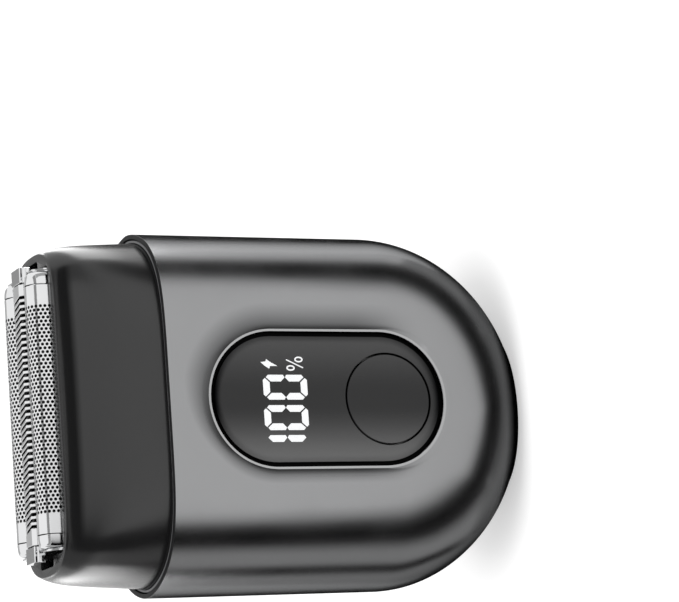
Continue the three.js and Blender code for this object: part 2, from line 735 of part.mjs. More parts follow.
// ---------------------------------------------------------------- oscillating bridge and cutters
function driveBridge() {
  const hubShape = roundedRectangle(hubHalfWidth, hubHalfDepth, hubCorner);
  const yokeX = pinRadius + 2 * stroke + boreGap;
  const yokeY = pinRadius + stroke + yokeSlack;
  const yoke = box(-yokeX, yokeX, -yokeY, yokeY, hubBottomZ - overrun, hubTopZ + overrun);
  const hub = cut(raised(hubShape, hubBottomZ, hubTopZ, 1), yoke);
  const pieces = [hub];
  const earShape = roundedRectangle(railY + earReach, earReach, earCorner, 0, railZ);
  for (const side of [-1, 1]) {
    const x = side * earX;
    const ear = runX(earShape, x - earHalfWidth, x + earHalfWidth, 2);
    const holes = [-railY, railY].map((y) => barX(x - earHalfWidth - overrun,
      x + earHalfWidth + overrun, y, railZ, railRadius + slideGap, 10));
    const link = box(...alongX(side, hubHalfWidth - sink, earX + earHalfWidth),
      -hubHalfDepth + linkInset, hubHalfDepth - linkInset, railZ - linkDrop, railZ + linkDrop);
    pieces.push(cut(ear, ...holes), link);
  }
  const neckShape = roundedRectangle(neckHalfWidth, neckHalfDepth, 2 * sink);
  const neckInnerX = neckHalfWidth - neckWall;
  const neckInnerY = neckHalfDepth - neckWall;
  pieces.push(cut(
    raised(neckShape, hubTopZ - sink, bridgeTopZ - bridgePlate / 2, 1),
    box(-neckInnerX, neckInnerX, -neckInnerY, neckInnerY,
      hubTopZ - overrun, bridgeTopZ - bridgePlate)));
  const plateShape = roundedRectangle(
    trimmerPostX + plateReachX, foilPitchY + plateReachY, plateCorner);
  const windows = [];
  for (const x of [-plateWindow.x, plateWindow.x]) {
    for (const y of [-foilPitchY / 2, foilPitchY / 2]) {
      const { halfWidth, halfDepth } = plateWindow;
      windows.push(box(x - halfWidth, x + halfWidth, y - halfDepth, y + halfDepth,
        bridgeTopZ - bridgePlate - overrun, bridgeTopZ + overrun));
    }
  }
  const plate = raised(plateShape, bridgeTopZ - bridgePlate, bridgeTopZ, 2);
  pieces.push(cut(plate, ...windows));
  for (const side of [-1, 1]) {
    for (const y of [-foilPitchY, foilPitchY]) {
      pieces.push(barZ(side * postX, y, postRadius, bridgeTopZ - sink, postTopZ, postSides));
    }
    pieces.push(barZ(side * trimmerPostX, 0, postRadius, bridgeTopZ - sink, postTopZ, postSides));
  }
  return join(...pieces);
}

function archShape(radius, y, bottomZ) {
  const shape = new THREE.Shape();
  shape.absarc(y, foilAxisZ, radius, 0, Math.PI);
  shape.lineTo(y - radius, bottomZ);
  shape.lineTo(y + radius, bottomZ);
  return shape;
}

// comb of upright blades on a base bar
function bladeComb(rootZ, topZ, halfLength, pitch, thickness) {
  const count = Math.floor((2 * halfLength - thickness) / pitch) + 1;
  const first = -((count - 1) * pitch) / 2;
  const shape = new THREE.Shape();
  shape.moveTo(-halfLength, cutterBottomZ);
  shape.lineTo(halfLength, cutterBottomZ);
  shape.lineTo(halfLength, rootZ);
  for (let k = count - 1; k >= 0; k -= 1) {
    const x = first + k * pitch;
    const right = x + thickness / 2;
    const left = x - thickness / 2;
    if (right < halfLength - cornerTrim) shape.lineTo(right, rootZ);
    shape.lineTo(right, topZ);
    shape.lineTo(left, topZ);
    if (left > -halfLength + cornerTrim) shape.lineTo(left, rootZ);
  }
  shape.lineTo(-halfLength, rootZ);
  return shape;
}

function postSocket(x, y) {
  return barZ(x, y, postRadius + cutterGap,
    cutterBottomZ - overrun, postTopZ + floatTravel + seatGap, postSides);
}

function cutterBlock(side) {
  const y = side * foilPitchY;
  const teeth = bladeComb(bladeRootZ, foilCrownZ, cutterHalfLength, bladePitch, bladeThickness);
  const arch = archShape(cutterRadius, y, cutterBottomZ - overrun);
  const blades = runY(teeth, y - foilRadius, y + foilRadius).intersect(
    runX(arch, -cutterHalfLength - overrun, cutterHalfLength + overrun, 3));
  return cut(blades, postSocket(-postX, y), postSocket(postX, y));
}

// flat crown, sloping shoulders and straight walls
function combSection(halfWidth, topZ, bottomZ, crownHalf) {
  const shape = new THREE.Shape();
  const shoulder = (halfWidth + crownHalf) / 2;
  shape.moveTo(-halfWidth, bottomZ);
  shape.lineTo(halfWidth, bottomZ);
  shape.lineTo(halfWidth, topZ - combEave);
  shape.lineTo(shoulder, topZ - combShoulder);
  shape.lineTo(crownHalf, topZ);
  shape.lineTo(-crownHalf, topZ);
  shape.lineTo(-shoulder, topZ - combShoulder);
  shape.lineTo(-halfWidth, topZ - combEave);
  return shape;
}

function trimmerBlade() {
  const half = combHalfWidth - combWall - seatGap - pressGap;
  const topZ = combTopZ - combWall - seatGap;
  const teeth = bladeComb(topZ - trimmerToothDepth, topZ,
    cutterHalfLength + airGap, trimmerToothPitch, slotPitch);
  const shoulders = combSection(half, topZ, cutterBottomZ - overrun, 0.55 * half);
  const blades = runY(teeth, -half, half).intersect(
    runX(shoulders, -foilHalfLength, foilHalfLength));
  return cut(blades, postSocket(-trimmerPostX, 0), postSocket(trimmerPostX, 0));
}

// ---------------------------------------------------------------- springs
class Helix extends THREE.Curve {
  constructor(radius, x, y, z0, z1) {
    super();
    Object.assign(this, { radius, x, y, z0, z1 });
  }

  getPoint(t, target = new THREE.Vector3()) {
    const angle = 2 * Math.PI * springTurns * t;
    return target.set(
      this.x + this.radius * Math.cos(angle),
      this.y + this.radius * Math.sin(angle),
      this.z0 + (this.z1 - this.z0) * t);
  }
}

function coilSpring({ radius, wire }, x, y, floorZ, ceilingZ) {
  const corners = Array.from({ length: springSides }, (_, k) => {
    const angle = (2 * Math.PI * k) / springSides;
    return new THREE.Vector2(wire * Math.cos(angle), wire * Math.sin(angle));
  });
  const extrudePath = new Helix(
    radius, x, y, floorZ + slideGap + wire, ceilingZ - slideGap - wire);
  const steps = springStepsPerTurn * springTurns;
  return solid(new THREE.ExtrudeGeometry(
    new THREE.Shape(corners), { steps, bevelEnabled: false, extrudePath }));
}

// ---------------------------------------------------------------- head cover and frame
function coverSection(inset, z) {
  const rise = THREE.MathUtils.clamp((z - shellHeight) / (coverTopZ - shellHeight), 0, 1);
  const baseWidth = shellHalfWidth - coverInset;
  const baseDepth = shellHalfDepth - coverInset;
  const widthRun = (1 - coverWidthBend) * rise + coverWidthBend * rise ** 8;
  const depthRun = (1 - coverDepthBend) * rise + coverDepthBend * rise ** 6;
  const width = THREE.MathUtils.lerp(baseWidth, coverTopHalfWidth, widthRun);
  const depth = THREE.MathUtils.lerp(baseDepth, coverTopHalfDepth, depthRun);
  const side = THREE.MathUtils.lerp(sideRoundness, coverTopSideRoundness, rise);
  const face = THREE.MathUtils.lerp(faceRoundness, coverTopFaceRoundness, rise);
  return section(width - inset, depth - inset, side, face, z);
}

function coverLevels(fromZ, toZ) {
  const levels = [fromZ];
  for (let step = 0; step <= coverSteps; step += 1) {
    const rise = 1 - (1 - step / coverSteps) ** coverCrowding;
    const z = shellHeight + (coverTopZ - shellHeight) * rise;
    if (z > fromZ + slideGap && z < toZ - slideGap) levels.push(z);
  }
  levels.push(toZ);
  return levels;
}

function headCover() {
  const roofZ = coverTopZ - coverRoof;
  const outer = loft(coverLevels(coverBottomZ, coverTopZ).map((z) => coverSection(0, z)));
  const inner = loft(
    coverLevels(coverBottomZ - overrun, roofZ).map((z) => coverSection(coverWall, z)));
  const foilShape = roundedRectangle(
    capEndX + foilWindow.margin, foilPitchY + foilRadius + airGap, foilWindow.corner);
  const combShape = roundedRectangle(
    combEndX + combWindow.margin, combHalfWidth + airGap + seatGap, combWindow.corner);
  return cut(outer, inner,
    raised(foilShape, roofZ - overrun, coverTopZ + overrun, 2),
    raised(combShape, roofZ - overrun, coverTopZ + overrun, 2));
}

function foilFrame() {
  const inset = coverWall + seatGap;
  const flangeTopZ = frameBottomZ + frameFlange;
  const halfDepth = foilPitchY + foilRadius + frameMargin;
  const flange = loft([coverSection(inset, frameBottomZ), coverSection(inset, flangeTopZ)]);
  const block = raised(roundedRectangle(combEndX + frameMargin, halfDepth, frameCorner),
    flangeTopZ - sink, frameTopZ, 3);
  const window = raised(
    roundedRectangle(foilHalfLength + seatGap, halfDepth, frameWindowCorner),
    frameBottomZ - overrun, frameTopZ + overrun, 2);
  const pockets = [];
  const arms = [];
  for (const side of [-1, 1]) {
    for (const y of [-foilPitchY, foilPitchY]) {
      pockets.push(box(...alongX(side, legStartX - seatGap, legEndX + seatGap),
        y - legHalfWidth - seatGap, y + legHalfWidth + seatGap,
        pocketFloorZ, frameTopZ + overrun));
    }
    pockets.push(box(...alongX(side, combLegStartX - seatGap, combLegEndX + seatGap),
      -combLegHalfWidth - seatGap, combLegHalfWidth + seatGap,
      pocketFloorZ, frameTopZ + overrun));
    const bumpZ = deckTopZ + snapBump.lift;
    arms.push(
      box(...alongX(side, snapX - snapArm.thickness, snapX),
        -snapArm.halfWidth, snapArm.halfWidth, deckTopZ + snapArm.lift, frameBottomZ + sink),
      box(...alongX(side, snapX - sink, snapX + snapBump.reach),
        -snapBump.halfWidth, snapBump.halfWidth, bumpZ, bumpZ + snapBump.height));
  }
  return cut(join(cut(join(flange, block), window), ...arms), ...pockets);
}

// ---------------------------------------------------------------- foils
function foilArch(side) {
  const y = side * foilPitchY;
  const outer = archShape(foilRadius, y, foilBottomZ);
  const inner = archShape(foilRadius - foilThickness, y, foilBottomZ - overrun);
  return cut(
    runX(outer, -foilHalfLength, foilHalfLength, 8),
    runX(inner, -foilHalfLength - overrun, foilHalfLength + overrun, 8));
}

// domed end of a foil: an arch that closes down along its length
function capDome(y, end) {
  const rings = [];
  for (let slice = 0; slice <= capSlices; slice += 1) {
    const reach = Math.sin((capClosing * slice * Math.PI) / (2 * capSlices));
    const radius = capRadius * Math.sqrt(1 - reach ** 2) ** 0.8;
    const x = end * (capStartX + capLength * reach);
    const ring = [];
    for (let step = 0; step <= capArcSteps; step += 1) {
      const angle = (Math.PI * step) / capArcSteps;
      ring.push(new THREE.Vector3(
        x, y + radius * Math.cos(angle), foilAxisZ + radius * Math.sin(angle)));
    }
    ring.push(new THREE.Vector3(x, y - radius, foilAxisZ - seatGap));
    ring.push(new THREE.Vector3(x, y + radius, foilAxisZ - seatGap));
    rings.push(end > 0 ? ring : ring.reverse());
  }
  return loft(rings);
}

function foilCap(side, end) {
  const y = side * foilPitchY;
  const plateHalf = (capLength + capPlateReach) / 2;
  const plateZ = coverTopZ + capPlateLift;
  const plateShape = roundedRectangle(
    plateHalf, capRadius, capPlateCorner, end * (capStartX + plateHalf), y);
  const plate = raised(plateShape, plateZ, plateZ + capPlateThickness, 1);
  const plug = runX(
    archShape(foilRadius - foilThickness - seatGap, y, foilBottomZ + airGap),
    ...alongX(end, foilHalfLength - capPlug, capStartX + overrun), 4);
  const leg = box(...alongX(end, legStartX, legEndX),
    y - legHalfWidth, y + legHalfWidth, legBottomZ, plateZ + boreGap);
  return join(capDome(y, end), plate, plug, leg);
}

// ---------------------------------------------------------------- centre trimmer
function trimmerComb() {
  const outer = combSection(combHalfWidth, combTopZ, combBottomZ, combCrownHalf);
  const inner = combSection(combHalfWidth - combWall, combTopZ - combWall,
    combBottomZ - overrun, combCrownHalf - boreGap);
  const channel = cut(
    runX(outer, -combHalfLength, combHalfLength),
    runX(inner, -combHalfLength - overrun, combHalfLength + overrun));
  const count = Math.floor((2 * (combHalfLength - combPlain)) / slotPitch);
  const lean = new THREE.Matrix4().makeShear(0, 0, -slotLead, 0, 0, 0);
  const slots = Array.from({ length: count }, (_, k) => {
    const slot = new THREE.BoxGeometry(slotWidth, 2 * combHalfWidth, 2 * slotDepth);
    slot.applyMatrix4(lean).translate((k - (count - 1) / 2) * slotPitch, 0, combTopZ);
    return solid(slot);
  });
  return cut(channel, wasm.Manifold.union(slots));
}

function trimmerCap(end) {
  const start = combHalfLength + slideGap;
  const topZ = combTopZ - cornerTrim;
  const eaveZ = coverTopZ - floatTravel + seatGap;
  const corner = (side, [inwards, down]) => new THREE.Vector2(
    side * (combHalfWidth - inwards), topZ - down);
  const outline = [
    new THREE.Vector2(-combHalfWidth, eaveZ), new THREE.Vector2(combHalfWidth, eaveZ),
    ...capCorner.map((step) => corner(1, step)),
    ...capCorner.toReversed().map((step) => corner(-1, step))];
  const head = runX(new THREE.Shape(outline), ...alongX(end, start, combEndX));
  const plugHalf = combHalfWidth - combWall - seatGap;
  const plugShape = combSection(
    plugHalf, combTopZ - combWall - seatGap, combBottomZ + airGap, 0.6 * plugHalf);
  const plug = runX(plugShape, ...alongX(end, combHalfLength - combPlug, start + sink));
  const leg = box(...alongX(end, combLegStartX, combLegEndX),
    -combLegHalfWidth, combLegHalfWidth, legBottomZ, coverTopZ);
  const bevel = new THREE.BoxGeometry(endBevel, 3 * combHalfWidth, endBevel);
  bevel.rotateY(Math.PI / 4).translate(end * combEndX, 0, topZ);
  return cut(join(head, plug, leg), solid(bevel));
}

// ---------------------------------------------------------------- assembly
const shaver = new THREE.Group();

function add(name, body, material) {
  const mesh = new THREE.Mesh(geometryOf(body), material);
  mesh.name = name;
  shaver.add(mesh);
}

add('body_shell', bodyShell(), gunmetal);
add('collar_ring', collarRing(), greyPlastic);
add('display_lens', displayLens(), glossBlack);
add('power_button', powerButton(), glossBlack);
add('display_module', displayModule(), whitePlastic);
add('tact_switch', tactSwitch(), springSteel);
add('main_board', mainBoard(), boardGreen);
add('chassis_frame', chassisFrame(), blackPlastic);
add('battery_cell', batteryCell(), cellBlue);
add('charge_board', chargeBoard(), boardGreen);
add('usb_socket', usbSocket(), bladeSteel);
add('motor_can', motorCan(), bladeSteel);
add('motor_shaft', motorShaft(), springSteel);
add('eccentric_cam', eccentricCam(), brassYellow);
add('drive_deck', driveDeck(), blackPlastic);
add('drive_bridge', driveBridge(), whitePlastic);
add('head_cover', headCover(), blackPlastic);
add('foil_frame', foilFrame(), greyPlastic);
add('trimmer_comb', trimmerComb(), mirrorChrome);
add('trimmer_blade', trimmerBlade(), bladeSteel);

for (const [place, side] of [['front', -1], ['rear', 1]]) {
  add(`guide_rail_${place}`, guideRail(side), springSteel);
  add(`cutter_block_${place}`, cutterBlock(side), bladeSteel);
  add(`foil_${place}`, foilArch(side), mirrorChrome);
}

for (const [hand, end] of [['left', -1], ['right', 1]]) {
  const legX = end * (legStartX + legEndX) / 2;
  const combLegX = end * (combLegStartX + combLegEndX) / 2;
  add(`deck_screw_${hand}`, deckScrew(end), springSteel);
  add(`trimmer_cap_${hand}`, trimmerCap(end), mirrorChrome);
  add(`trimmer_float_spring_${hand}`,
    coilSpring(combSpring, combLegX, 0, pocketFloorZ, legBottomZ), springSteel);
  add(`trimmer_blade_spring_${hand}`,
    coilSpring(cutterSpring, end * trimmerPostX, 0, bridgeTopZ, cutterBottomZ), springSteel);
  for (const [place, side] of [['front', -1], ['rear', 1]]) {
    const y = side * foilPitchY;
    add(`foil_cap_${place}_${hand}`, foilCap(side, end), mirrorChrome);
    add(`foil_spring_${place}_${hand}`,
      coilSpring(foilSpring, legX, y, pocketFloorZ, legBottomZ), springSteel);
    add(`cutter_spring_${place}_${hand}`,
      coilSpring(cutterSpring, end * postX, y, bridgeTopZ, cutterBottomZ), springSteel);
  }
}

export default shaver;
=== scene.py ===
import math
import bmesh
import bpy
from mathutils import Matrix, Vector


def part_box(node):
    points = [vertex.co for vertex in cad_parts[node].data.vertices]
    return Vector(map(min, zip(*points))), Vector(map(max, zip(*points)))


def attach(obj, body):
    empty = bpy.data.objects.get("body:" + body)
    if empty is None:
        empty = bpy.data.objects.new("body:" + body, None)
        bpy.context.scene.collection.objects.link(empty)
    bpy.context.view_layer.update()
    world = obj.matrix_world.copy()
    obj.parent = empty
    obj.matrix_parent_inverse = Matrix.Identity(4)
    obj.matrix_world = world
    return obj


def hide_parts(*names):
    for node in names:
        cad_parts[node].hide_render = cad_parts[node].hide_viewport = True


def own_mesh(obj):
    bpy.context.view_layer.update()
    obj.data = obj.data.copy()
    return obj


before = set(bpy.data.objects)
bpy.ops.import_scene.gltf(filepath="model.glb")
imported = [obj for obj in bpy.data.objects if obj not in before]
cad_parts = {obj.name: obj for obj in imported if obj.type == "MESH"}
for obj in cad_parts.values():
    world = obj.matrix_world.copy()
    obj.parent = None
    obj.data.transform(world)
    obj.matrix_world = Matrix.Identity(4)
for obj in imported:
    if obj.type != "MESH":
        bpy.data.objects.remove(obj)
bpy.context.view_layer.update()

mm = 0.001
print("frame loaded:", len(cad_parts), "nodes")


# small tools used by every piece; sizes are in millimetres, the meshes in metres

def deselectAll():
    if bpy.context.mode != "OBJECT":
        bpy.ops.object.mode_set(mode="OBJECT")
    bpy.ops.object.select_all(action="DESELECT")


def makeActive(piece):
    deselectAll()
    piece.select_set(True)
    bpy.context.view_layer.objects.active = piece


def rename(name):
    piece = bpy.context.object
    piece.name = name
    piece.data.name = name
    return piece


def duplicate(pattern, name):
    # a copy with a mesh of its own
    makeActive(pattern)
    bpy.ops.object.duplicate()
    return rename(name)


def applyModifier(piece, kind, **settings):
    makeActive(piece)
    modifier = piece.modifiers.new(kind.lower(), kind)
    for key, value in settings.items():
        setattr(modifier, key, value)
    bpy.ops.object.modifier_apply(modifier=modifier.name)


def repeatAlong(piece, count, x, y=0.0):
    # the piece becomes a row of itself, each copy so far from the last
    applyModifier(piece, "ARRAY", count=count, use_relative_offset=False, use_constant_offset=True,
                  constant_offset_displace=(x * mm, y * mm, 0))


def softenEdges(piece, sharperThan):
    # a narrow bevel on the edges that turn by more than so many degrees
    applyModifier(piece, "BEVEL", width=0.05 * mm, segments=1, limit_method="ANGLE",
                  angle_limit=math.radians(sharperThan))


def cutWith(piece, cutter):
    # exact boolean, then the cutter goes
    applyModifier(piece, "BOOLEAN", operation="DIFFERENCE", solver="EXACT", object=cutter)
    bpy.data.objects.remove(cutter, do_unlink=True)


def joinInto(piece, *others):
    makeActive(piece)
    for other in others:
        other.select_set(True)
    bpy.ops.object.join()
    return piece


def smoothByAngle(piece, degrees):
    makeActive(piece)
    bpy.ops.object.shade_smooth_by_angle(angle=math.radians(degrees))
    return piece


def faceOutwards(piece):
    makeActive(piece)
    bpy.ops.object.mode_set(mode="EDIT")
    bpy.ops.mesh.select_all(action="SELECT")
    bpy.ops.mesh.remove_doubles(threshold=1e-6)
    bpy.ops.mesh.normals_make_consistent(inside=False)
    bpy.ops.object.mode_set(mode="OBJECT")


def selectEdges(piece, test):
    # picks edges by their place; the piece stays in edit mode
    makeActive(piece)
    bpy.ops.object.mode_set(mode="EDIT")
    bpy.ops.mesh.select_mode(type="EDGE")
    bpy.ops.mesh.select_all(action="DESELECT")
    mesh = bmesh.from_edit_mesh(piece.data)
    for edge in mesh.edges:
        if test(edge):
            edge.select_set(True)
    bmesh.update_edit_mesh(piece.data)


def extrudeSelected(piece, move):
    # pulls out the picked edges; each new vert goes to a place worked out from where it is
    bpy.ops.mesh.extrude_edges_move()
    mesh = bmesh.from_edit_mesh(piece.data)
    for vert in mesh.verts:
        if vert.select:
            vert.co = move(vert.co)
    bmesh.update_edit_mesh(piece.data)


def finishPiece(piece, look, body, slot, *nodes):
    piece.data.materials.clear()
    piece.data.materials.append(finish[look])
    if nodes:
        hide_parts(*nodes)
    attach(piece, body)
    return piece


def secondLook(piece, look, test):
    # gives the faces that pass the test a further material
    piece.data.materials.append(finish[look])
    for face in piece.data.polygons:
        if test(face.center / mm, face.normal):
            face.material_index = len(piece.data.materials) - 1


def ringStack(name, rings, closed=True):
    # one circle, extruded from ring to ring, each new ring set on its own outline
    count = len(rings[0])
    deselectAll()
    bpy.ops.mesh.primitive_circle_add(vertices=count, radius=1, fill_type="NOTHING")
    piece = rename(name)
    bpy.ops.object.mode_set(mode="EDIT")
    bpy.ops.mesh.select_all(action="SELECT")
    for level, ring in enumerate(rings):
        mesh = bmesh.from_edit_mesh(piece.data)
        mesh.verts.ensure_lookup_table()
        if level:
            bpy.ops.mesh.select_all(action="DESELECT")
            last = mesh.verts[-count:]
            lastSet = set(last)
            for edge in (edge for vert in last for edge in vert.link_edges):
                if lastSet.issuperset(edge.verts):
                    edge.select_set(True)
            bpy.ops.mesh.extrude_edges_move()
            mesh = bmesh.from_edit_mesh(piece.data)
            mesh.verts.ensure_lookup_table()
        for vert, place in zip(mesh.verts[-count:], ring):
            vert.co = Vector(place) * mm
        if closed and level in (0, len(rings) - 1):
            bpy.ops.mesh.edge_face_add()
    bmesh.update_edit_mesh(piece.data)
    bpy.ops.mesh.select_all(action="SELECT")
    bpy.ops.mesh.normals_make_consistent(inside=False)
    bpy.ops.object.mode_set(mode="OBJECT")
    return piece


def prism(name, outline, start, end, axis):
    # an outline of two coordinates, run along the third
    order = {"x": (2, 0, 1), "y": (0, 2, 1), "z": (0, 1, 2)}[axis]
    return ringStack(name, [[[(*point, level)[k] for k in order] for point in outline]
                            for level in (start, end)])


def circle(radius, count, across=0.0, up=0.0, tall=None):
    # points round a circle, or round an oval where tall is given
    turns = [2 * math.pi * k / count for k in range(count)]
    return [(across + radius * math.cos(turn), up + (tall or radius) * math.sin(turn)) for turn in turns]


def quarterRound(steps, size):
    # how far in and how far short of the end each step of a rounded edge is
    turns = [math.pi / 2 * step / steps for step in range(steps + 1)]
    return [(size * (1 - math.cos(turn)), size * (1 - math.sin(turn))) for turn in turns]


def mirrored(points):
    # the right half of an outline with its mirror image
    return points + [(-y, z) for y, z in reversed(points)]


def roundedOutline(halfA, halfB, corner, steps=8, centre=(0, 0)):
    points = []
    for quarter, (signA, signB) in enumerate(((1, 1), (-1, 1), (-1, -1), (1, -1))):
        for step in range(steps + 1):
            turn = math.pi / 2 * (quarter + step / steps)
            points.append((centre[0] + signA * (halfA - corner) + corner * math.cos(turn),
                           centre[1] + signB * (halfB - corner) + corner * math.sin(turn)))
    return points


def held(share):
    # kept between 0 and 1
    return min(1.0, max(0.0, share))


def section(turn, halfWidth, halfDepth, side, face):
    # one point of the soft-cornered section of the body and the head
    c, s = math.cos(turn), math.sin(turn)
    return (math.copysign(halfWidth * abs(c) ** (2 / side), c),
            math.copysign(halfDepth * abs(s) ** (2 / face), s))


def columnAngles(outlines, count, fine=600, turnWeight=12):
    # angles of the columns round a section: one quarter spread by length and by turn, then mirrored
    steps = [math.pi / 2 * (1 - (1 - i / fine) ** 3) for i in range(fine + 1)]
    total = [0.0] * (fine + 1)
    for outline in outlines:
        places = [Vector(outline(turn)) for turn in steps]
        run, heading = 0.0, None
        for i in range(1, fine + 1):
            step = places[i] - places[i - 1]
            way = math.atan2(step.y, step.x)
            run += step.length + (0 if heading is None else turnWeight * abs(way - heading))
            heading = way
            total[i] += run
    quarter, at, each = [], 0, count // 4
    for k in range(each + 1):
        goal = total[-1] * k / each
        while at < fine - 1 and total[at + 1] < goal:
            at += 1
        share = (at + (goal - total[at]) / (total[at + 1] - total[at])) / fine
        quarter.append(math.pi / 2 * (1 - (1 - share) ** 3))
    return (quarter + [math.pi - turn for turn in quarter[-2::-1]]
            + [math.pi + turn for turn in quarter[1:]] + [2 * math.pi - turn for turn in quarter[-2:0:-1]])


def setInputs(tree, node, inputs):
    # each input takes a value or another node's output
    for label, value in inputs.items():
        if isinstance(value, bpy.types.NodeSocket):
            tree.links.new(value, node.inputs[label])
        else:
            node.inputs[label].default_value = value


def addNode(tree, kind, inputs=None, **settings):
    node = tree.nodes.new("ShaderNode" + kind)
    for key, value in settings.items():
        setattr(node, key, value)
    setInputs(tree, node, inputs or {})
    return node.outputs


def calculate(tree, operation, *values, kind="Math"):
    return addNode(tree, kind, dict(enumerate(values)), operation=operation)[0]


def product(tree, result, *others):
    # all of them multiplied, each a value or a node's output
    for other in others:
        result = calculate(tree, "MULTIPLY", result, other)
    return result


def mapRange(tree, value, low, high, toLow=0.0, toHigh=1.0, smooth=False):
    return addNode(tree, "MapRange", {"Value": value, "From Min": low, "From Max": high, "To Min": toLow,
                                      "To Max": toHigh},
                   interpolation_type="SMOOTHSTEP" if smooth else "LINEAR")["Result"]


# studio: camera, floor, world, lamp

camera = {
    "place": (-0.07870, -0.46152, 0.24052),
    "azimuth": -12.0166, "elevation": 24.3252, "roll": 0.7539,
    "lens": 161.8, "sensor": 36.0,
}


def addCamera():
    # the object stands upright and the camera is turned on its side, head to the left
    turn, lift, roll = (math.radians(camera[key]) for key in ("azimuth", "elevation", "roll"))
    back = Vector((math.sin(turn) * math.cos(lift), -math.cos(turn) * math.cos(lift), math.sin(lift)))
    right = Vector((math.cos(turn), math.sin(turn), 0))
    up = back.cross(right)
    along = right * math.cos(roll) + up * math.sin(roll)
    across = up * math.cos(roll) - right * math.sin(roll)
    bpy.ops.object.camera_add(location=camera["place"])
    eye = bpy.context.object
    eye.name = "viewCamera"
    eye.rotation_euler = Matrix((-across, along, back)).transposed().to_euler()
    eye.data.lens = camera["lens"]
    eye.data.sensor_width = camera["sensor"]
    eye.data.sensor_fit = "HORIZONTAL"
    eye.data.clip_start = 0.01
    bpy.context.scene.camera = eye


studio = {
    "floorSize": 4.0, "floorColour": 0.8, "floorGlow": 0.24, "floorSeenGlow": 0.24, "worldFill": 0.6,
    "lampPlace": (-0.05, -0.28, 1.0), "lampSize": 0.7, "lampPower": 6.0, "lampAim": (0, 0, 0.05),
}


def seenWhite(tree):
    # 1 for what the eye, a reflection or a view through glass meets, 0 for plain lighting
    path = addNode(tree, "LightPath")
    first = calculate(tree, "MAXIMUM", path["Is Camera Ray"], path["Is Glossy Ray"])
    return calculate(tree, "MAXIMUM", first, path["Is Transmission Ray"])


def addWorld():
    world = bpy.data.worlds.new("studioWorld")
    bpy.context.scene.world = world
    world.use_nodes = True
    background = world.node_tree.nodes["Background"].inputs
    background["Color"].default_value = (1, 1, 1, 1)
    level = mapRange(world.node_tree, seenWhite(world.node_tree), 0.0, 1.0, studio["worldFill"], 1.0)
    world.node_tree.links.new(level, background["Strength"])


def stageMaterial(piece, name, surface):
    # surface builds the shader in an empty tree
    material = bpy.data.materials.new(name)
    material.use_nodes = True
    material.node_tree.nodes.clear()
    addNode(material.node_tree, "OutputMaterial", {"Surface": surface(material.node_tree)})
    piece.data.materials.append(material)


def floorSurface(tree):
    tone = studio["floorColour"]
    paper = addNode(tree, "BsdfDiffuse", {"Color": (tone, tone, tone, 1)})[0]
    level = product(tree, seenWhite(tree), studio["floorGlow"])
    seen = addNode(tree, "LightPath")["Is Camera Ray"]
    strength = calculate(tree, "MULTIPLY_ADD", seen, studio["floorSeenGlow"], level)
    glow = addNode(tree, "Emission", {"Strength": strength})[0]
    return addNode(tree, "AddShader", {0: paper, 1: glow})[0]


def addFloor():
    deselectAll()
    bpy.ops.mesh.primitive_plane_add(size=studio["floorSize"], location=(0, 0, 0))
    stageMaterial(rename("studioFloor"), "floorPaper", floorSurface)


def addLamp():
    deselectAll()
    bpy.ops.object.light_add(type="AREA", location=studio["lampPlace"])
    lamp = rename("overheadLamp")
    lamp.data.shape = "RECTANGLE"
    lamp.data.size = lamp.data.size_y = studio["lampSize"]
    lamp.data.energy = studio["lampPower"]
    lamp.visible_glossy = False
    aim = Vector(studio["lampAim"]) - Vector(studio["lampPlace"])
    lamp.rotation_euler = aim.to_track_quat("-Z", "Y").to_euler()


# cards that only reflections meet: they give the bare metal and the gloss their soft dark bands
floorStripes = {
    # places and half widths along the floor in millimetres, height, tone, how solid the first place is
    "stripeFront": ([(-250, -225, 92), (-175, -158, 64), (-113, -104, 42), (-80, -73, 30), (-55, -52, 20),
                     (-32, -32, 12.5), (-22.5, -25, 8.8), (-16.5, -21.4, 6.0), (0, -19.0, 3.7),
                     (16.5, -20.6, 5.4), (33, -24, 8.4), (46.7, -29, 11.5), (68.0, -38.5, 19),
                     (119, -60, 33), (165, -86, 44), (260, -132, 72)], 0.4, 0.0, 1.0),
    "stripeLeft": ([(-24, -3.7, 2.0), (-36, -3.7, 2.6), (-47, -2.5, 3.6), (-67, 3, 6.4), (-100, 12, 11),
                    (-133, 22, 16), (-240, 52, 30)], 0.3, 0.0, 0.0),
    "stripeFoot": ([(-26, -3, 2), (-20, -10, 3), (-12, -13, 3.4), (0, -13.8, 3.4), (12, -13, 3.4),
                    (20, -10, 3), (26, -3, 2)], 0.2, 0.36, 1.0),
}
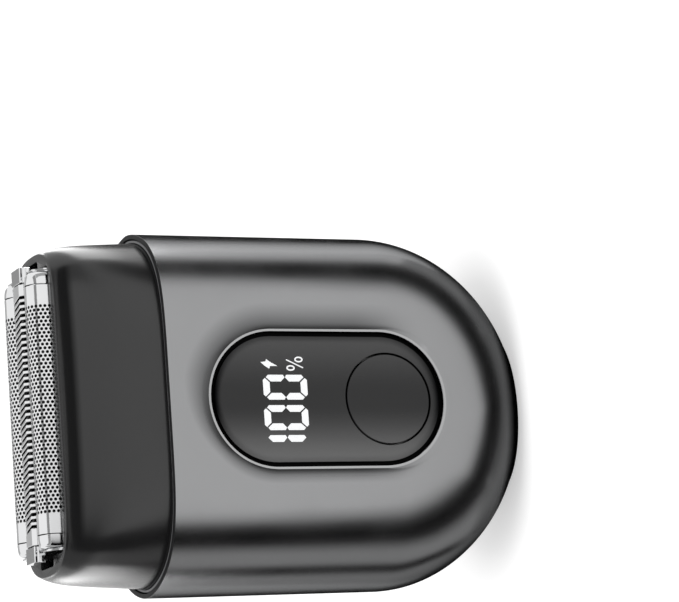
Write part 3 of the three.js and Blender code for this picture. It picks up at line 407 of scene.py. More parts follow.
# how far across a stripe, in half widths, and how solid it is there
stripeSides = ((-1.7, 0.0), (-1.15, 0.4), (-0.7, 0.92), (0.0, 1.0), (0.7, 0.92), (1.15, 0.4), (1.7, 0.0))
floorCards = {
    # outline on the floor in millimetres, height, tone
    "cardBehindRight": ([(26, 0), (34, 5), (49, 15), (146, 96), (206, 146), (130, 230), (70, 140),
                         (40, 52), (24, 8)], 0.35, 0.0),
    "fieldBackRight": ([(34, -4), (200, 11), (160, 72), (51, 11)], 0.36, 1.5),
    "cardBehindLeft": ([(-25, 6), (-38, 15), (-54, 41), (-78, 92), (-112, 162), (4, 170), (-14, 60),
                        (-22, 8)], 0.35, 0.0),
    "fieldBackLeft": ([(-28, 8), (-60, 31), (-244, 185), (-80, 250), (-34, 30)], 0.15, 1.0),
    "cardFarLeft": ([(-221, -117), (-113, -223), (-409, -802), (-795, -422)], 0.3, 0.0),
    "glowBehindRight": ([(215, -20), (560, -120), (640, 200), (420, 520), (170, 330), (200, 140)], 0.3, 5.0),
    "glowBehindLeft": ([(-215, 40), (-560, 120), (-480, 460), (-230, 560), (-110, 300), (-180, 150)],
                       0.3, 4.6),
    "fieldLeft": ([(-22, -4), (-16, -16), (-24, -24), (-60, -55), (-260, -230), (-360, -60),
                   (-300, 150), (-120, 190), (-38, 30), (-26, 4)], 0.1, 0.52),
    "fieldRight": ([(22, -5), (16, -16), (26, -22), (44, -26), (60, -22), (50, 0), (30, 2)], 0.1, 0.5),
}
standingCards = {
    # from and to azimuth, low and high elevation in degrees, distance in metres, tone, how solid at each end
    "cardLeftDark": (-60, -29, -6, 40, 0.9, 0.0, 1.0, 1.0),
    "cardLeftSoft": (-29, 13, 0, 40, 0.9, 0.0, 1.0, 0.0),
    "cardLeftGrey": (-118, -60, -6, 40, 0.92, 0.38, 1.0, 1.0),
    "cardRightGrey": (32, 66, -6, 40, 0.92, 0.4, 1.0, 1.0),
    "cardOver": (-85, 66, 42, 60, 0.94, 0.3, 1.0, 1.0),
    "cardBehind": (145, 195, 6, 40, 1.1, 0.5, 1.0, 1.0),
}
# dark spots under and round the foot, met only by reflections: painted shadow of the object on the floor
darkSpots = {
    # middle, inner and outer half sizes, height in millimetres
    "spotFoot": ((6, 22), (41, 25), (48, 29.5), 0.4),
    "spotContact": ((0, 0), (15.4, 11.1), (18.6, 13.8), 0.25),
    "spotUnder": ((0, 0), (15.4, 11.1), (18.6, 13.8), 0.03),
}
# a dark band before the foils: places across, its bow, and its levels with how solid each is
visor = {"across": (-25, -16, -8, 0, 8, 16, 25), "front": -12.6, "bow": 0.0018,
         "levels": ((79.0, 0.0), (80.4, 1.0), (82.6, 1.0))}


def gridFaces(count, rows):
    # four-sided faces between rows of the same count of corners
    return [(k, k + 1, k + 1 + count, k + count) for row in range(rows - 1)
            for k in range(row * count, row * count + count - 1)]


def addCard(name, corners, tone, faces=None, veil=None):
    # corners in metres; veil holds how solid each corner is, so that a card can have soft sides
    deselectAll()
    bpy.ops.mesh.primitive_circle_add(vertices=3, radius=1, fill_type="NGON")
    card = rename(name)
    card.data.clear_geometry()
    card.data.from_pydata([tuple(place) for place in corners], [], faces or [range(len(corners))])
    solid = card.data.attributes.new("veil", "FLOAT", "POINT")
    for k in range(len(corners)):
        solid.data[k].value = veil[k] if veil else 1.0

    def surface(tree):
        share = addNode(tree, "Attribute", attribute_name="veil")["Fac"]
        through = addNode(tree, "BsdfTransparent")[0]
        glow = addNode(tree, "Emission", {"Strength": tone})[0]
        return addNode(tree, "MixShader", {"Fac": share, 1: through, 2: glow})[0]

    stageMaterial(card, name + "Tone", surface)
    for way in ("camera", "diffuse", "shadow", "transmission"):
        setattr(card, "visible_" + way, False)


def addSpot(name, centre, inner, outer, height, count=32):
    # an oval that is solid inside and fades out round it
    corners = [centre]
    for halfX, halfY in (inner, outer):
        corners += circle(halfX, count, *centre, halfY)
    nextStep = [(step, (step + 1) % count) for step in range(count)]
    faces = [(0, 1 + step, 1 + after) for step, after in nextStep]
    faces += [(1 + step, 1 + count + step, 1 + count + after, 1 + after) for step, after in nextStep]
    addCard(name, [Vector((*corner, height)) * mm for corner in corners], 0.0, faces,
            [1.0] * (1 + count) + [0.0] * count)


def addStripe(name, line, height, tone, startSolid):
    corners, veil = [], []
    for k, (x, y, half) in enumerate(line):
        before, after = line[max(0, k - 1)], line[min(len(line) - 1, k + 1)]
        along = Vector((after[0] - before[0], after[1] - before[1], 0)).normalized()
        across = Vector((-along.y, along.x, 0))
        for reach, solid in stripeSides:
            corners.append((Vector((x, y, height)) + across * reach * half) * mm)
            veil.append(solid * (startSolid if k == 0 else 1.0))
    addCard(name, corners, tone, gridFaces(len(stripeSides), len(line)), veil)


def addStandingCard(name, start, stop, low, high, distance, tone, startSolid, stopSolid):
    # part of an upright ring round the object, kept above the floor
    steps, lifted = 8, 0.06     # lifted is in metres
    corners = []
    for lift in (low, high):
        for k in range(steps + 1):
            turn = math.radians(start + (stop - start) * k / steps)
            place = Vector((math.sin(turn), -math.cos(turn), math.tan(math.radians(lift)))) * distance
            place.z = max(place.z + lifted, 0.001)
            corners.append(place)
    veil = [startSolid + (stopSolid - startSolid) * k / steps for k in range(steps + 1)]
    addCard(name, corners, tone, gridFaces(steps + 1, 2), veil * 2)


addCamera()
addWorld()
addFloor()
addLamp()
for name, (outline, height, tone) in floorCards.items():
    addCard(name, [Vector((x, y, height)) * mm for x, y in outline], tone)
for name, values in floorStripes.items():
    addStripe(name, *values)
addCard("cardVisor", [Vector((x, visor["front"] + visor["bow"] * x * x, z)) * mm
                      for z, solid in visor["levels"] for x in visor["across"]], 0.0,
        gridFaces(len(visor["across"]), len(visor["levels"])),
        [solid for z, solid in visor["levels"] for x in visor["across"]])
for name, values in darkSpots.items():
    addSpot(name, *values)
for name, values in standingCards.items():
    addStandingCard(name, *values)
bpy.context.scene.view_settings.view_transform = "Standard"
print("studio ready")


# node groups shared by the materials; places and distances in them are in metres

texture = {
    # scale and detail of each noise on the object's own coordinates
    "fineDetail": 3, "cloud": (90, 4), "wearNoise": (700, 5), "dustNoise": (1500, 6),
    # from and to: how sharp an edge wears, how far up a face looks to hold dust, which noise is dust
    "wornEdge": (0.54, 0.64), "dustUpward": (0.4, 1.0), "dustSpecks": (0.5, 0.75),
    "dustColour": (0.55, 0.54, 0.52, 1),
    # the painted shade round the panel: where its width changes from left to right, where it starts, how it
    # falls
    "rimAcross": (-0.009, 0.004), "rimUpwards": (0.019, 0.033), "rimFall": 1.15,
    # next: the tone of the painted light towards the sides, the tone of the painted shade round the panel,
    # then cloud and bump
    "liftTone": 0.15, "rimTone": 0.0, "cloudShare": (0.3, 0.7), "bump": 0.35,
}


def sharedGroup(name, inputs, build):
    # inputs: label and first value, three numbers for a vector; build gives the outputs by label
    group = bpy.data.node_groups.new(name, "ShaderNodeTree")
    for label, value in inputs.items():
        kind = "NodeSocketVector" if isinstance(value, tuple) else "NodeSocketFloat"
        group.interface.new_socket(label, in_out="INPUT", socket_type=kind).default_value = value
    made = build(group, group.nodes.new("NodeGroupInput").outputs)
    for label in made:
        group.interface.new_socket(label, in_out="OUTPUT", socket_type="NodeSocketFloat")
    result = group.nodes.new("NodeGroupOutput")
    for label, value in made.items():
        group.links.new(value, result.inputs[label])
    return group


def objectPlace(tree):
    return addNode(tree, "TexCoord")["Object"]


def noise(tree, place, scale, detail):
    return addNode(tree, "TexNoise", {"Vector": place, "Scale": scale, "Detail": detail})["Fac"]


def split(tree, vector):
    return addNode(tree, "SeparateXYZ", {0: vector})


def buildGrain(tree, given):
    # a fine height for bump and a slow cloud for roughness
    place = objectPlace(tree)
    stretched = calculate(tree, "MULTIPLY", place, given["Stretch"], kind="VectorMath")
    return {"Height": noise(tree, stretched, given["Scale"], texture["fineDetail"]),
            "Cloud": noise(tree, place, *texture["cloud"])}


def buildWear(tree, given):
    # 1 on convex edges, broken up by noise
    edge = mapRange(tree, addNode(tree, "NewGeometry")["Pointiness"], *texture["wornEdge"])
    broken = noise(tree, objectPlace(tree), *texture["wearNoise"])
    return {"Mask": product(tree, edge, broken, given["Amount"])}


def buildDust(tree, given):
    # a little dust where a face looks up
    normal = split(tree, addNode(tree, "NewGeometry")["Normal"])
    upward = mapRange(tree, normal["Z"], *texture["dustUpward"])
    specks = mapRange(tree, noise(tree, objectPlace(tree), *texture["dustNoise"]), *texture["dustSpecks"])
    return {"Mask": product(tree, upward, specks, given["Amount"])}


def buildPaintedSideLight(tree, given):
    # painted light: 0 in the middle, growing towards either side of the piece
    across = split(tree, objectPlace(tree))["X"]
    sides = [product(tree, mapRange(tree, way, given["Start"], given["Reach"], smooth=True), given[label])
             for way, label in ((product(tree, across, -1.0), "Left"), (across, "Right"))]
    return {"Mask": calculate(tree, "ADD", *sides)}


def pillDistance(tree, place, given):
    # distance from the middle line of an upright pill
    upward = calculate(tree, "ABSOLUTE", calculate(tree, "SUBTRACT", place["Z"], given["Centre"]))
    beyond = calculate(tree, "MAXIMUM", calculate(tree, "SUBTRACT", upward, given["Straight"]), 0.0)
    flat = addNode(tree, "CombineXYZ", {"X": place["X"], "Y": beyond})[0]
    return addNode(tree, "VectorMath", {0: flat}, operation="LENGTH")["Value"]


def buildPaintedRimShade(tree, given):
    # 1 at the edge of the pill on the front, fading outwards: painted shade, a darker ring round the panel's
    # edge
    place = split(tree, objectPlace(tree))
    outer = mapRange(tree, place["X"], *texture["rimAcross"], given["Outer Left"], given["Outer"])
    run = mapRange(tree, pillDistance(tree, place, given), given["Inner"], outer, 1.0, 0.0)
    lower = mapRange(tree, place["Z"], *texture["rimUpwards"], smooth=True)
    front = calculate(tree, "LESS_THAN", place["Y"], 0.0)
    fall = calculate(tree, "POWER", run, texture["rimFall"])
    return {"Mask": product(tree, fall, lower, front, given["Amount"])}


def buildPane(tree, given):
    # 1 inside the pill, 0 at its edge: the reflecting layer stops short of the window's edge
    reach = pillDistance(tree, split(tree, objectPlace(tree)), given)
    inside = mapRange(tree, reach, given["Clear"], given["Edge"], 1.0, 0.0, smooth=True)
    return {"Mask": product(tree, inside, given["Amount"])}


pillSockets = {"Centre": 0.0375, "Straight": 0.0096}
grainGroup = sharedGroup("surfaceGrain", {"Scale": 4000.0, "Stretch": (1, 1, 1)}, buildGrain)
wearGroup = sharedGroup("edgeWear", {"Amount": 0.3}, buildWear)
dustGroup = sharedGroup("dustVeil", {"Amount": 0.1}, buildDust)
paintedSideLightGroup = sharedGroup("paintedSideLight", {"Left": 0.1, "Right": 0.05, "Start": 0.004, "Reach": 0.01}, buildPaintedSideLight)
paintedRimShadeGroup = sharedGroup("paintedRimShade", {**pillSockets, "Inner": 0.0115, "Outer": 0.0157, "Outer Left": 0.0137,
                                    "Amount": 0.5}, buildPaintedRimShade)
paneGroup = sharedGroup("paneFade", {**pillSockets, "Clear": 0.0093, "Edge": 0.0103, "Amount": 0.8},
                        buildPane)

finishes = {
    # colour, worn colour, metal, roughness (low, high), grain (size, height, stretch), wear, dust, and what
    # only some have: lift holds the sockets of the painted light towards the sides, rim those of the painted
    # shade round the panel and pane those of paneFade, in their order
    "satinGunmetal": ((0.3, 0.302, 0.306), (0.48, 0.48, 0.49), 1.0, (0.19, 0.25), (9000, 0.012), 0.35, 0.03,
                      # painted shade round the panel, darker near its edge and not at its lower end
                      {"rim": (0.0375, 0.0096, 0.01145, 0.016, 0.0138, 0.78),
                       "sockets": {"Specular Tint": (0.25, 0.25, 0.25, 1)}}),
    "polishedEdge": ((0.4, 0.402, 0.405), (0.42, 0.42, 0.42), 1.0, (0.16, 0.22), (9000, 0.006), 0.3, 0.0),
    "rimDark": ((0.012, 0.012, 0.0125), (0.07, 0.07, 0.07), 0.0, (0.4, 0.5), (6000, 0.02), 0.3, 0.02,
                {"sockets": {"Specular IOR Level": 0.15}}),
    # painted shade in the groove round the window: a black with almost no reflection
    "paintedGrooveShade": ((0.003, 0.003, 0.003), (0.004, 0.004, 0.004), 0.0, (0.7, 0.8), (5000, 0.02), 0.0, 0.0,
                    {"sockets": {"Specular IOR Level": 0.05}}),
    # steel painted nearly black: painted shade on what lies under the foils and the cover, seen through the
    # holes
    "paintedShadeSteel": ((0.012, 0.012, 0.0125), (0.03, 0.03, 0.03), 1.0, (0.3, 0.42), (2400, 0.02, (1, 12, 1)),
                  0.3, 0.0),
    "collarGrey": ((0.16, 0.16, 0.165), (0.3, 0.3, 0.31), 0.0, (0.38, 0.5), (6000, 0.02), 0.3, 0.03),
    "softBlack": ((0.0105, 0.0105, 0.0108), (0.03, 0.03, 0.03), 0.0, (0.22, 0.27), (5200, 0.015), 0.25, 0.01,
                  {"sockets": {"Specular IOR Level": 0.68}}),
    "glossBlack": ((0.004, 0.004, 0.0045), (0.012, 0.012, 0.012), 0.0, (0.12, 0.2), (700, 0.002), 0.15, 0.01,
                   # painted light lifts the window towards its sides, more on the left
                   {"lift": (0.9, 0.36, 0.001, 0.0115), "pane": (0.0375, 0.0096, 0.0091, 0.0103, 0.85),
                    "sockets": {"Specular IOR Level": 0.0, "Coat Roughness": 0.14}}),
    "brightChrome": ((0.8, 0.804, 0.81), (0.7, 0.7, 0.71), 1.0, (0.07, 0.14), (2600, 0.004), 0.3, 0.0),
    "satinTop": ((0.42, 0.422, 0.425), (0.5, 0.5, 0.5), 1.0, (0.3, 0.4), (5000, 0.02), 0.2, 0.0),
    "groundSteel": ((0.6, 0.61, 0.63), (0.75, 0.75, 0.76), 1.0, (0.24, 0.36), (2400, 0.02, (1, 12, 1)),
                    0.3, 0.0),
    "springWire": ((0.5, 0.51, 0.53), (0.6, 0.6, 0.6), 1.0, (0.2, 0.32), (5000, 0.01), 0.2, 0.0),
    "turnedBrass": ((0.72, 0.52, 0.22), (0.85, 0.7, 0.4), 1.0, (0.2, 0.3), (3000, 0.02, (1, 1, 9)), 0.3, 0.0),
    "mouldedBlack": ((0.02, 0.02, 0.021), (0.07, 0.07, 0.07), 0.0, (0.42, 0.56), (3200, 0.05), 0.2, 0.08),
    "mouldedGrey": ((0.1, 0.1, 0.104), (0.2, 0.2, 0.2), 0.0, (0.4, 0.54), (3200, 0.05), 0.2, 0.06),
    "milkyWhite": ((0.78, 0.78, 0.75), (0.85, 0.85, 0.84), 0.0, (0.35, 0.48), (3000, 0.03), 0.2, 0.04),
    "litWhite": ((0.85, 0.86, 0.87), (0.8, 0.8, 0.8), 0.0, (0.4, 0.5), (2500, 0.0), 0.0, 0.0, {"glow": 0.3}),
    "solderGreen": ((0.02, 0.12, 0.06), (0.3, 0.2, 0.08), 0.0, (0.25, 0.4), (1500, 0.02), 0.4, 0.05),
    "cellWrap": ((0.05, 0.16, 0.36), (0.2, 0.3, 0.45), 0.0, (0.22, 0.34), (900, 0.03), 0.2, 0.04),
}


def useGroup(tree, group, values):
    return addNode(tree, "Group", values, node_tree=group)


def blend(tree, share, first, second):
    return addNode(tree, "Mix", {"Factor": share, "A": first, "B": second}, data_type="RGBA")["Result"]


def makeFinish(name, colour, worn, metal, rough, grain, wear, dust, extras={}):
    material = bpy.data.materials.new(name)
    material.use_nodes = True
    tree = material.node_tree
    size, height, stretch = (*grain, (1, 1, 1))[:3]
    noises = useGroup(tree, grainGroup, {"Scale": size, "Stretch": stretch})
    tone = blend(tree, useGroup(tree, wearGroup, {"Amount": wear})["Mask"], (*colour, 1), (*worn, 1))
    tone = blend(tree, useGroup(tree, dustGroup, {"Amount": dust})["Mask"], tone, texture["dustColour"])
    # painted light and painted shade that follow the place on the object
    for key, group, level in (("lift", paintedSideLightGroup, "liftTone"), ("rim", paintedRimShadeGroup, "rimTone")):
        if key in extras:
            share = useGroup(tree, group, dict(enumerate(extras[key])))["Mask"]
            tone = blend(tree, share, tone, (*[texture[level]] * 3, 1))
    bump = addNode(tree, "Bump", {"Strength": texture["bump"], "Distance": height * mm,
                                  "Height": noises["Height"]})
    inputs = {"Metallic": metal, "Base Color": tone, "Normal": bump["Normal"],
              "Roughness": mapRange(tree, noises["Cloud"], *texture["cloudShare"], *rough)}
    inputs.update(extras.get("sockets", {}))
    if "pane" in extras:
        inputs["Coat Weight"] = useGroup(tree, paneGroup, dict(enumerate(extras["pane"])))["Mask"]
    if "glow" in extras:
        inputs.update({"Emission Color": tone, "Emission Strength": extras["glow"]})
    setInputs(tree, tree.nodes["Principled BSDF"], inputs)
    return material


finish = {name: makeFinish(name, *values) for name, values in finishes.items()}
print("materials ready:", len(finish))


# the metal body: a bowl that runs up into straight sides, hollow, open at the top

shell = {
    "halfWidth": 30.0, "halfDepth": 15.6, "height": 65.3,
    "sideRoundness": 4.92, "faceRoundness": 1.68,
    "bowlCentreZ": 24.9, "bowlHeight": 28.0,
    "wall": 0.8, "floor": 1.6, "rimRound": 0.12, "rimChamfer": 0.06,
    "rimSteps": (2, 1.12),          # rings below the rounded rim, in its radii
    "skinDepth": 0.3, "rimKept": 1,     # how deep the outer skin is read, how much of the rim never dips
    "columns": 260, "bowlRows": 40, "sideRows": 44, "innerLevels": (55.0, 45.0, 35.0),
    # height and pull towards the middle of the soft base edge, from the flat base up
    "baseRound": 0.35, "baseEdge": ((0.0, 0.6925), (0.0, 0.4125), (0.06, 0.3), (0.17, 0.13)),
    # half sizes of the charging port, what it flares by, and its levels with 1 for the flared ones
    "portHalf": (4.8, 1.95), "portFlare": 0.35, "portLevels": ((-0.5, 1), (-0.12, 1), (0.25, 0), (2.5, 0)),
}
panel = {
    "centreZ": 37.5, "halfStraight": 9.6, "holeRadius": 11.75, "holeDepth": (-17.0, -12.0),
    # the face sinks a little towards the raised bead, and less low down
    "dip": 0.3, "dipInner": 12.6, "dipOuter": 18.0, "dipFromZ": 19.0, "dipRise": 14.0,
    "beadOuter": 11.5, "beadInner": 11.1, "foot": 12.7, "wall": 11.0, "beadRise": 0.29, "beadDepth": 0.8,
    "beadSteps": (0, 0.2, 0.4, 0.55, 0.7, 0.8, 0.9, 1.0),
}


def shellPoint(turn, z, inset=0.0):
    c, s = math.cos(turn), math.sin(turn)
    side, face = shell["sideRoundness"], shell["faceRoundness"]
    drop = held((shell["bowlCentreZ"] - z) / (shell["bowlHeight"] - inset))
    lost = drop ** side
    reach = (lost + (1 - lost) * c * c) ** (2 / side)
    return (math.copysign((shell["halfWidth"] - inset) * math.sqrt(max(0.0, reach - drop * drop)), c),
            math.copysign((shell["halfDepth"] - inset) * ((1 - lost) * s * s) ** (1 / face), s), z)


shellSizes = [shell[key] for key in ("halfWidth", "halfDepth", "sideRoundness", "faceRoundness")]
shellTurns = columnAngles([lambda turn: section(turn, *shellSizes)], shell["columns"])


def shellRing(z, inset=0.0):
    return [shellPoint(turn, z, inset) for turn in shellTurns]


def pulledIn(ring, z, distance):
    # the same ring at another height, brought towards the middle
    pulls = [(x, y, 1 - distance / (math.hypot(x, y) or 1)) for x, y, _ in ring]
    return [(x * share, y * share, z) for x, y, share in pulls]


def bowlLevels(lowZ, inset):
    high, depth, rows = shell["bowlCentreZ"], shell["bowlHeight"] - inset, shell["bowlRows"]
    lowest = math.asin((high - lowZ) / depth)
    return [high - depth * math.sin(lowest * (1 - row / rows)) for row in range(rows + 1)]


def pillPlaces(radius, steps):
    # outline of a standing pill in the panel's place
    points = []
    for end, start in ((1, 0), (-1, math.pi)):
        for step in range(steps + 1):
            turn = math.pi * step / steps + start
            points.append((radius * math.cos(turn),
                           panel["centreZ"] + end * panel["halfStraight"] + radius * math.sin(turn)))
    return points


def pillRing(radius, y, steps=40):
    return [(x, y, z) for x, z in pillPlaces(radius, steps)]


def pillReach(x, z):
    # distance from the straight middle line of the panel
    return math.hypot(x, max(0.0, abs(z - panel["centreZ"]) - panel["halfStraight"]))


def dipAt(x, z):
    run = held((panel["dipOuter"] - pillReach(x, z)) / (panel["dipOuter"] - panel["dipInner"]))
    rise = held((z - panel["dipFromZ"]) / panel["dipRise"])
    return panel["dip"] * run * run * (3 - 2 * run) * rise * rise * (3 - 2 * rise)


def plainY(x, z):
    # front face of the body at a place, before it dips round the panel
    drop = held((shell["bowlCentreZ"] - z) / shell["bowlHeight"])
    full = math.hypot(x / shell["halfWidth"], drop) ** shell["sideRoundness"]
    return -shell["halfDepth"] * max(0.0, 1 - full) ** (1 / shell["faceRoundness"])


def makeShell():
    base, start, top, rows = (shell[key] for key in ("baseRound", "bowlCentreZ", "height", "sideRows"))
    soft, wall, chamfer = (shell[key] for key in ("rimRound", "wall", "rimChamfer"))
    foot = shellRing(base)
    rings = [pulledIn(foot, z, inwards) for z, inwards in shell["baseEdge"]] + [foot]
    rings += [shellRing(z) for z in bowlLevels(base, 0)[1:]]
    rings += [shellRing(start + (top - soft - start) * row / rows) for row in range(1, rows)]
    rings += [shellRing(top - step * soft) for step in shell["rimSteps"]]
    rings += [shellRing(top - short, inwards) for inwards, short in quarterRound(3, soft)]
    rings += [shellRing(top, wall - chamfer), shellRing(top - chamfer, wall)]
    rings += [shellRing(z, wall) for z in shell["innerLevels"]]
    rings += [shellRing(z, wall) for z in reversed(bowlLevels(shell["floor"], wall)[::2])]
    piece = ringStack("bodyShell", rings)
    # only the outer skin dips
    for vert in piece.data.vertices:
        x, y, z = (value / mm for value in vert.co)
        if y < plainY(x, z) + shell["skinDepth"] and z < top - shell["rimKept"]:
            vert.co.y += dipAt(x, z) * mm
    cutWith(piece, ringStack("panelHole", [pillRing(panel["holeRadius"], y) for y in panel["holeDepth"]]))
    (wide, deep), flare = shell["portHalf"], shell["portFlare"]
    outlines = (roundedOutline(wide, deep, deep - 0.05, 10),
                roundedOutline(wide + flare, deep + flare, deep + flare - 0.05, 10))
    cutWith(piece, ringStack("portHole", [[(x, y, z) for x, y in outlines[flared]]
                                          for z, flared in shell["portLevels"]]))
    return smoothByAngle(piece, 32)


def makeBezel():
    # the thin raised bead round the panel: a concave foot, a narrow flat crown, a wall into the groove
    outer, inner, foot, wall, rise, depth = (
        panel[key] for key in ("beadOuter", "beadInner", "foot", "wall", "beadRise", "beadDepth"))
    top = -rise - 0.02
    profile = [(foot, 0.5)] + [(foot - (foot - outer) * share, 0.004 - rise * share ** 1.5)
                               for share in panel["beadSteps"]]
    profile += [(outer - 0.06, top), (inner + 0.08, top), (inner + 0.02, top + 0.02), (inner, top + 0.07),
                (wall + 0.02, 0.02), (wall, depth), (foot, depth)]
    # the bead never stands out past the body's own depth
    rings = [[(x, max(plainY(x, z) + dipAt(x, z) + lift, 0.0005 - shell["halfDepth"]), z)
              for x, z in pillPlaces(reach, 48)] for reach, lift in profile]
    piece = ringStack("panelBezel", rings + [rings[0]], closed=False)
    faceOutwards(piece)
    return smoothByAngle(piece, 40)


body = finishPiece(makeShell(), "satinGunmetal", "body", "shell_metal", "body_shell")
secondLook(body, "rimDark", lambda place, normal: place.z > shell["height"] - 0.1)
bezel = finishPiece(makeBezel(), "satinGunmetal", "body", "shell_metal")
secondLook(bezel, "polishedEdge", lambda place, normal: normal.y < -0.4 and (
    panel["beadInner"] - 0.02 < pillReach(place.x, place.z) < panel["beadOuter"] + 0.02))
print("shell done")

collar = {
    "inset": 1.0, "lip": 0.42, "edge": 0.08, "ledgeDrop": 0.8, "ledgeInset": 3.4, "topZ": 65.1,
    "bottomZ": 61.5,
}


def makeCollar():
    inset, edge, top, low = (collar[key] for key in ("inset", "edge", "topZ", "bottomZ"))
    lip, ledge, ledgeInset = inset + collar["lip"], top - collar["ledgeDrop"], collar["ledgeInset"]
    profile = [(low, ledgeInset), (low, inset), (top - edge, inset), (top - 0.3 * edge, inset + 0.3 * edge),
               (top, inset + edge), (top, lip - edge), (top - edge, lip), (ledge, lip), (ledge, ledgeInset),
               (low, ledgeInset)]
    piece = ringStack("collarRing", [shellRing(z, inwards) for z, inwards in profile], closed=False)
    faceOutwards(piece)
    return smoothByAngle(piece, 32)


finishPiece(makeCollar(), "collarGrey", "body", "collar_grey", "collar_ring")
print("collar done")


# the dark window with its button and lit figures

lens = {
    "frontY": -15.3, "flangeY": -14.5, "backY": -13.6, "radius": 10.33, "flangeRadius": 11.9, "edge": 0.12,
    "buttonZ": 26.8, "holeRadius": 7.7, "holeEdge": 0.05,
}
button = {
    "radius": 7.38, "flangeRadius": 8.35, "flangeY": -13.3, "backY": -12.6, "edge": 0.08, "columns": 96,
    "dish": 0.12, "dishSteps": (0.85, 0.65, 0.45, 0.25, 0.08),
}


def discRings(*places):
    # rings round the button's axis, from their radius and depth
    return [[(x, y, z) for x, z in circle(radius, button["columns"], up=lens["buttonZ"])]
            for radius, y in places]


def makeLens():
    edge, radius, front, flangeY = (lens[key] for key in ("edge", "radius", "frontY", "flangeY"))
    profile = [(lens["flangeRadius"], lens["backY"]), (lens["flangeRadius"], flangeY), (radius, flangeY)]
    profile += [(radius - inwards, front + short) for inwards, short in quarterRound(6, edge)]
    piece = ringStack("displayLens", [pillRing(reach, y) for reach, y in profile])
    hole, soft = lens["holeRadius"], lens["holeEdge"]
    cutWith(piece, ringStack("buttonHole", discRings(
        (hole + soft, front - 1), (hole + soft, front), (hole + 0.3 * soft, front + 0.3 * soft),
        (hole, front + soft), (hole, lens["backY"] + 1))))
    return smoothByAngle(piece, 32)


def makeButton():
    edge, radius, flange, flangeY = (button[key] for key in ("edge", "radius", "flangeRadius", "flangeY"))
    front = lens["frontY"]
    profile = [(flange, button["backY"]), (flange, flangeY), (radius, flangeY)]
    profile += [(radius - inwards, front + short) for inwards, short in quarterRound(4, edge)]
    # the face is dished a little, shallowest at its rim
    profile += [((radius - edge) * share, front + button["dish"] * (1 - share ** 2))
                for share in button["dishSteps"]]
    return smoothByAngle(ringStack("powerButton", discRings(*profile)), 32)


window = finishPiece(makeLens(), "glossBlack", "body", "gloss_black", "display_lens")
# the window's faces behind its front take the painted shade of the groove
secondLook(window, "paintedGrooveShade", lambda place, normal: place.y > lens["frontY"] + 0.1)
finishPiece(makeButton(), "glossBlack", "button", "gloss_black", "power_button")
print("window and button done")

figures = {
    # places across and up; each nought's left, right, foot and top
    "height": 0.03, "sink": 0.02, "bar": 1.1,
    "rightNought": (-0.13, 3.95, 41.18, 48.93), "leftNought": (-5.11, -1.03, 41.35, 49.08),
    "one": (-5.93, 41.98, 48.62),
    "bolt": [(6.04, 49.12), (5.44, 48.45), (4.96, 47.66), (5.4, 47.5), (5.4, 46.2), (5.92, 47.22),
             (6.52, 48.12), (6.14, 48.24)],
    "rings": [(5.08, 43.9, 0.47, 0.74), (6.48, 42.4, 0.48, 0.74)], "ringBar": 0.24,
    "slash": [(5.02, 41.72), (5.2, 41.66), (6.54, 44.58), (6.36, 44.64)],
}


def flatShape(name, outline, front=-figures["height"], back=figures["sink"]):
    # a thin raised shape on the window, from its outline across and up
    deselectAll()
    bpy.ops.mesh.primitive_circle_add(vertices=len(outline), radius=1, fill_type="NGON")
    piece = rename(name)
    for vert, (x, z) in zip(piece.data.vertices, outline):
        vert.co = Vector((x, lens["frontY"] + back, z)) * mm
    bpy.ops.object.mode_set(mode="EDIT")
    bpy.ops.mesh.select_all(action="SELECT")
    bpy.ops.mesh.extrude_region_move(TRANSFORM_OT_translate={"value": (0, (front - back) * mm, 0)})
    bpy.ops.mesh.select_all(action="SELECT")
    bpy.ops.mesh.normals_make_consistent(inside=False)
    bpy.ops.object.mode_set(mode="OBJECT")
    return piece


def makeNought(name, place):
    left, right, low, high = place
    bar, half, wide = figures["bar"], (high - low) / 2, right - left
    # upright bar: how far in from its outer side and along from its outer end; end bar: along and up
    side = [(0, 0.93), (0.4, 0.56), (bar, 1.4), (bar, half - 0.72), (0.42, half - 0.04), (0, half - 0.29)]
    end = [(0.85, 0), (wide - 0.85, 0), (wide - 0.53, 0.36), (wide - 1.24, bar + 0.06), (1.24, bar + 0.06),
           (0.53, 0.36)]
    pieces = []
    for level, way in ((low, 1), (high, -1)):
        for start, onwards, shape in ((left, 1, side), (right, -1, side), (left, 1, end)):
            pieces.append(flatShape(name, [(start + onwards * x, level + way * z) for x, z in shape]))
    return joinInto(*pieces)


def makeOne():
    right, low, high = figures["one"]
    bar, half = figures["bar"], (high - low) / 2
    shape = [(0, 0.36), (0.4, 0), (bar, 0.74), (bar, half - 0.66), (0.42, half - 0.05), (0, half - 0.3)]
    return joinInto(*[flatShape("figureOne", [(right - x, level + way * z) for x, z in shape])
                      for level, way in ((low, 1), (high, -1))])


def makePercent():
    pieces, bar = [flatShape("percentSign", figures["slash"])], figures["ringBar"]
    for x, z, halfX, halfZ in figures["rings"]:
        ring = flatShape("percentRing", circle(halfX, 28, x, z, halfZ))
        cutWith(ring, flatShape("ringHole", circle(halfX - bar, 28, x, z, halfZ - bar), -0.5, 0.5))
        pieces.append(ring)
    return joinInto(*pieces)


for piece in (makeNought("figureNoughtRight", figures["rightNought"]),
              makeNought("figureNoughtLeft", figures["leftNought"]),
              makeOne(), makePercent(), flatShape("boltSign", figures["bolt"])):
    finishPiece(piece, "litWhite", "body", "display_white")
print("figures done")


# the black head cover: a tapering shell with a flat roof and a window for the foils

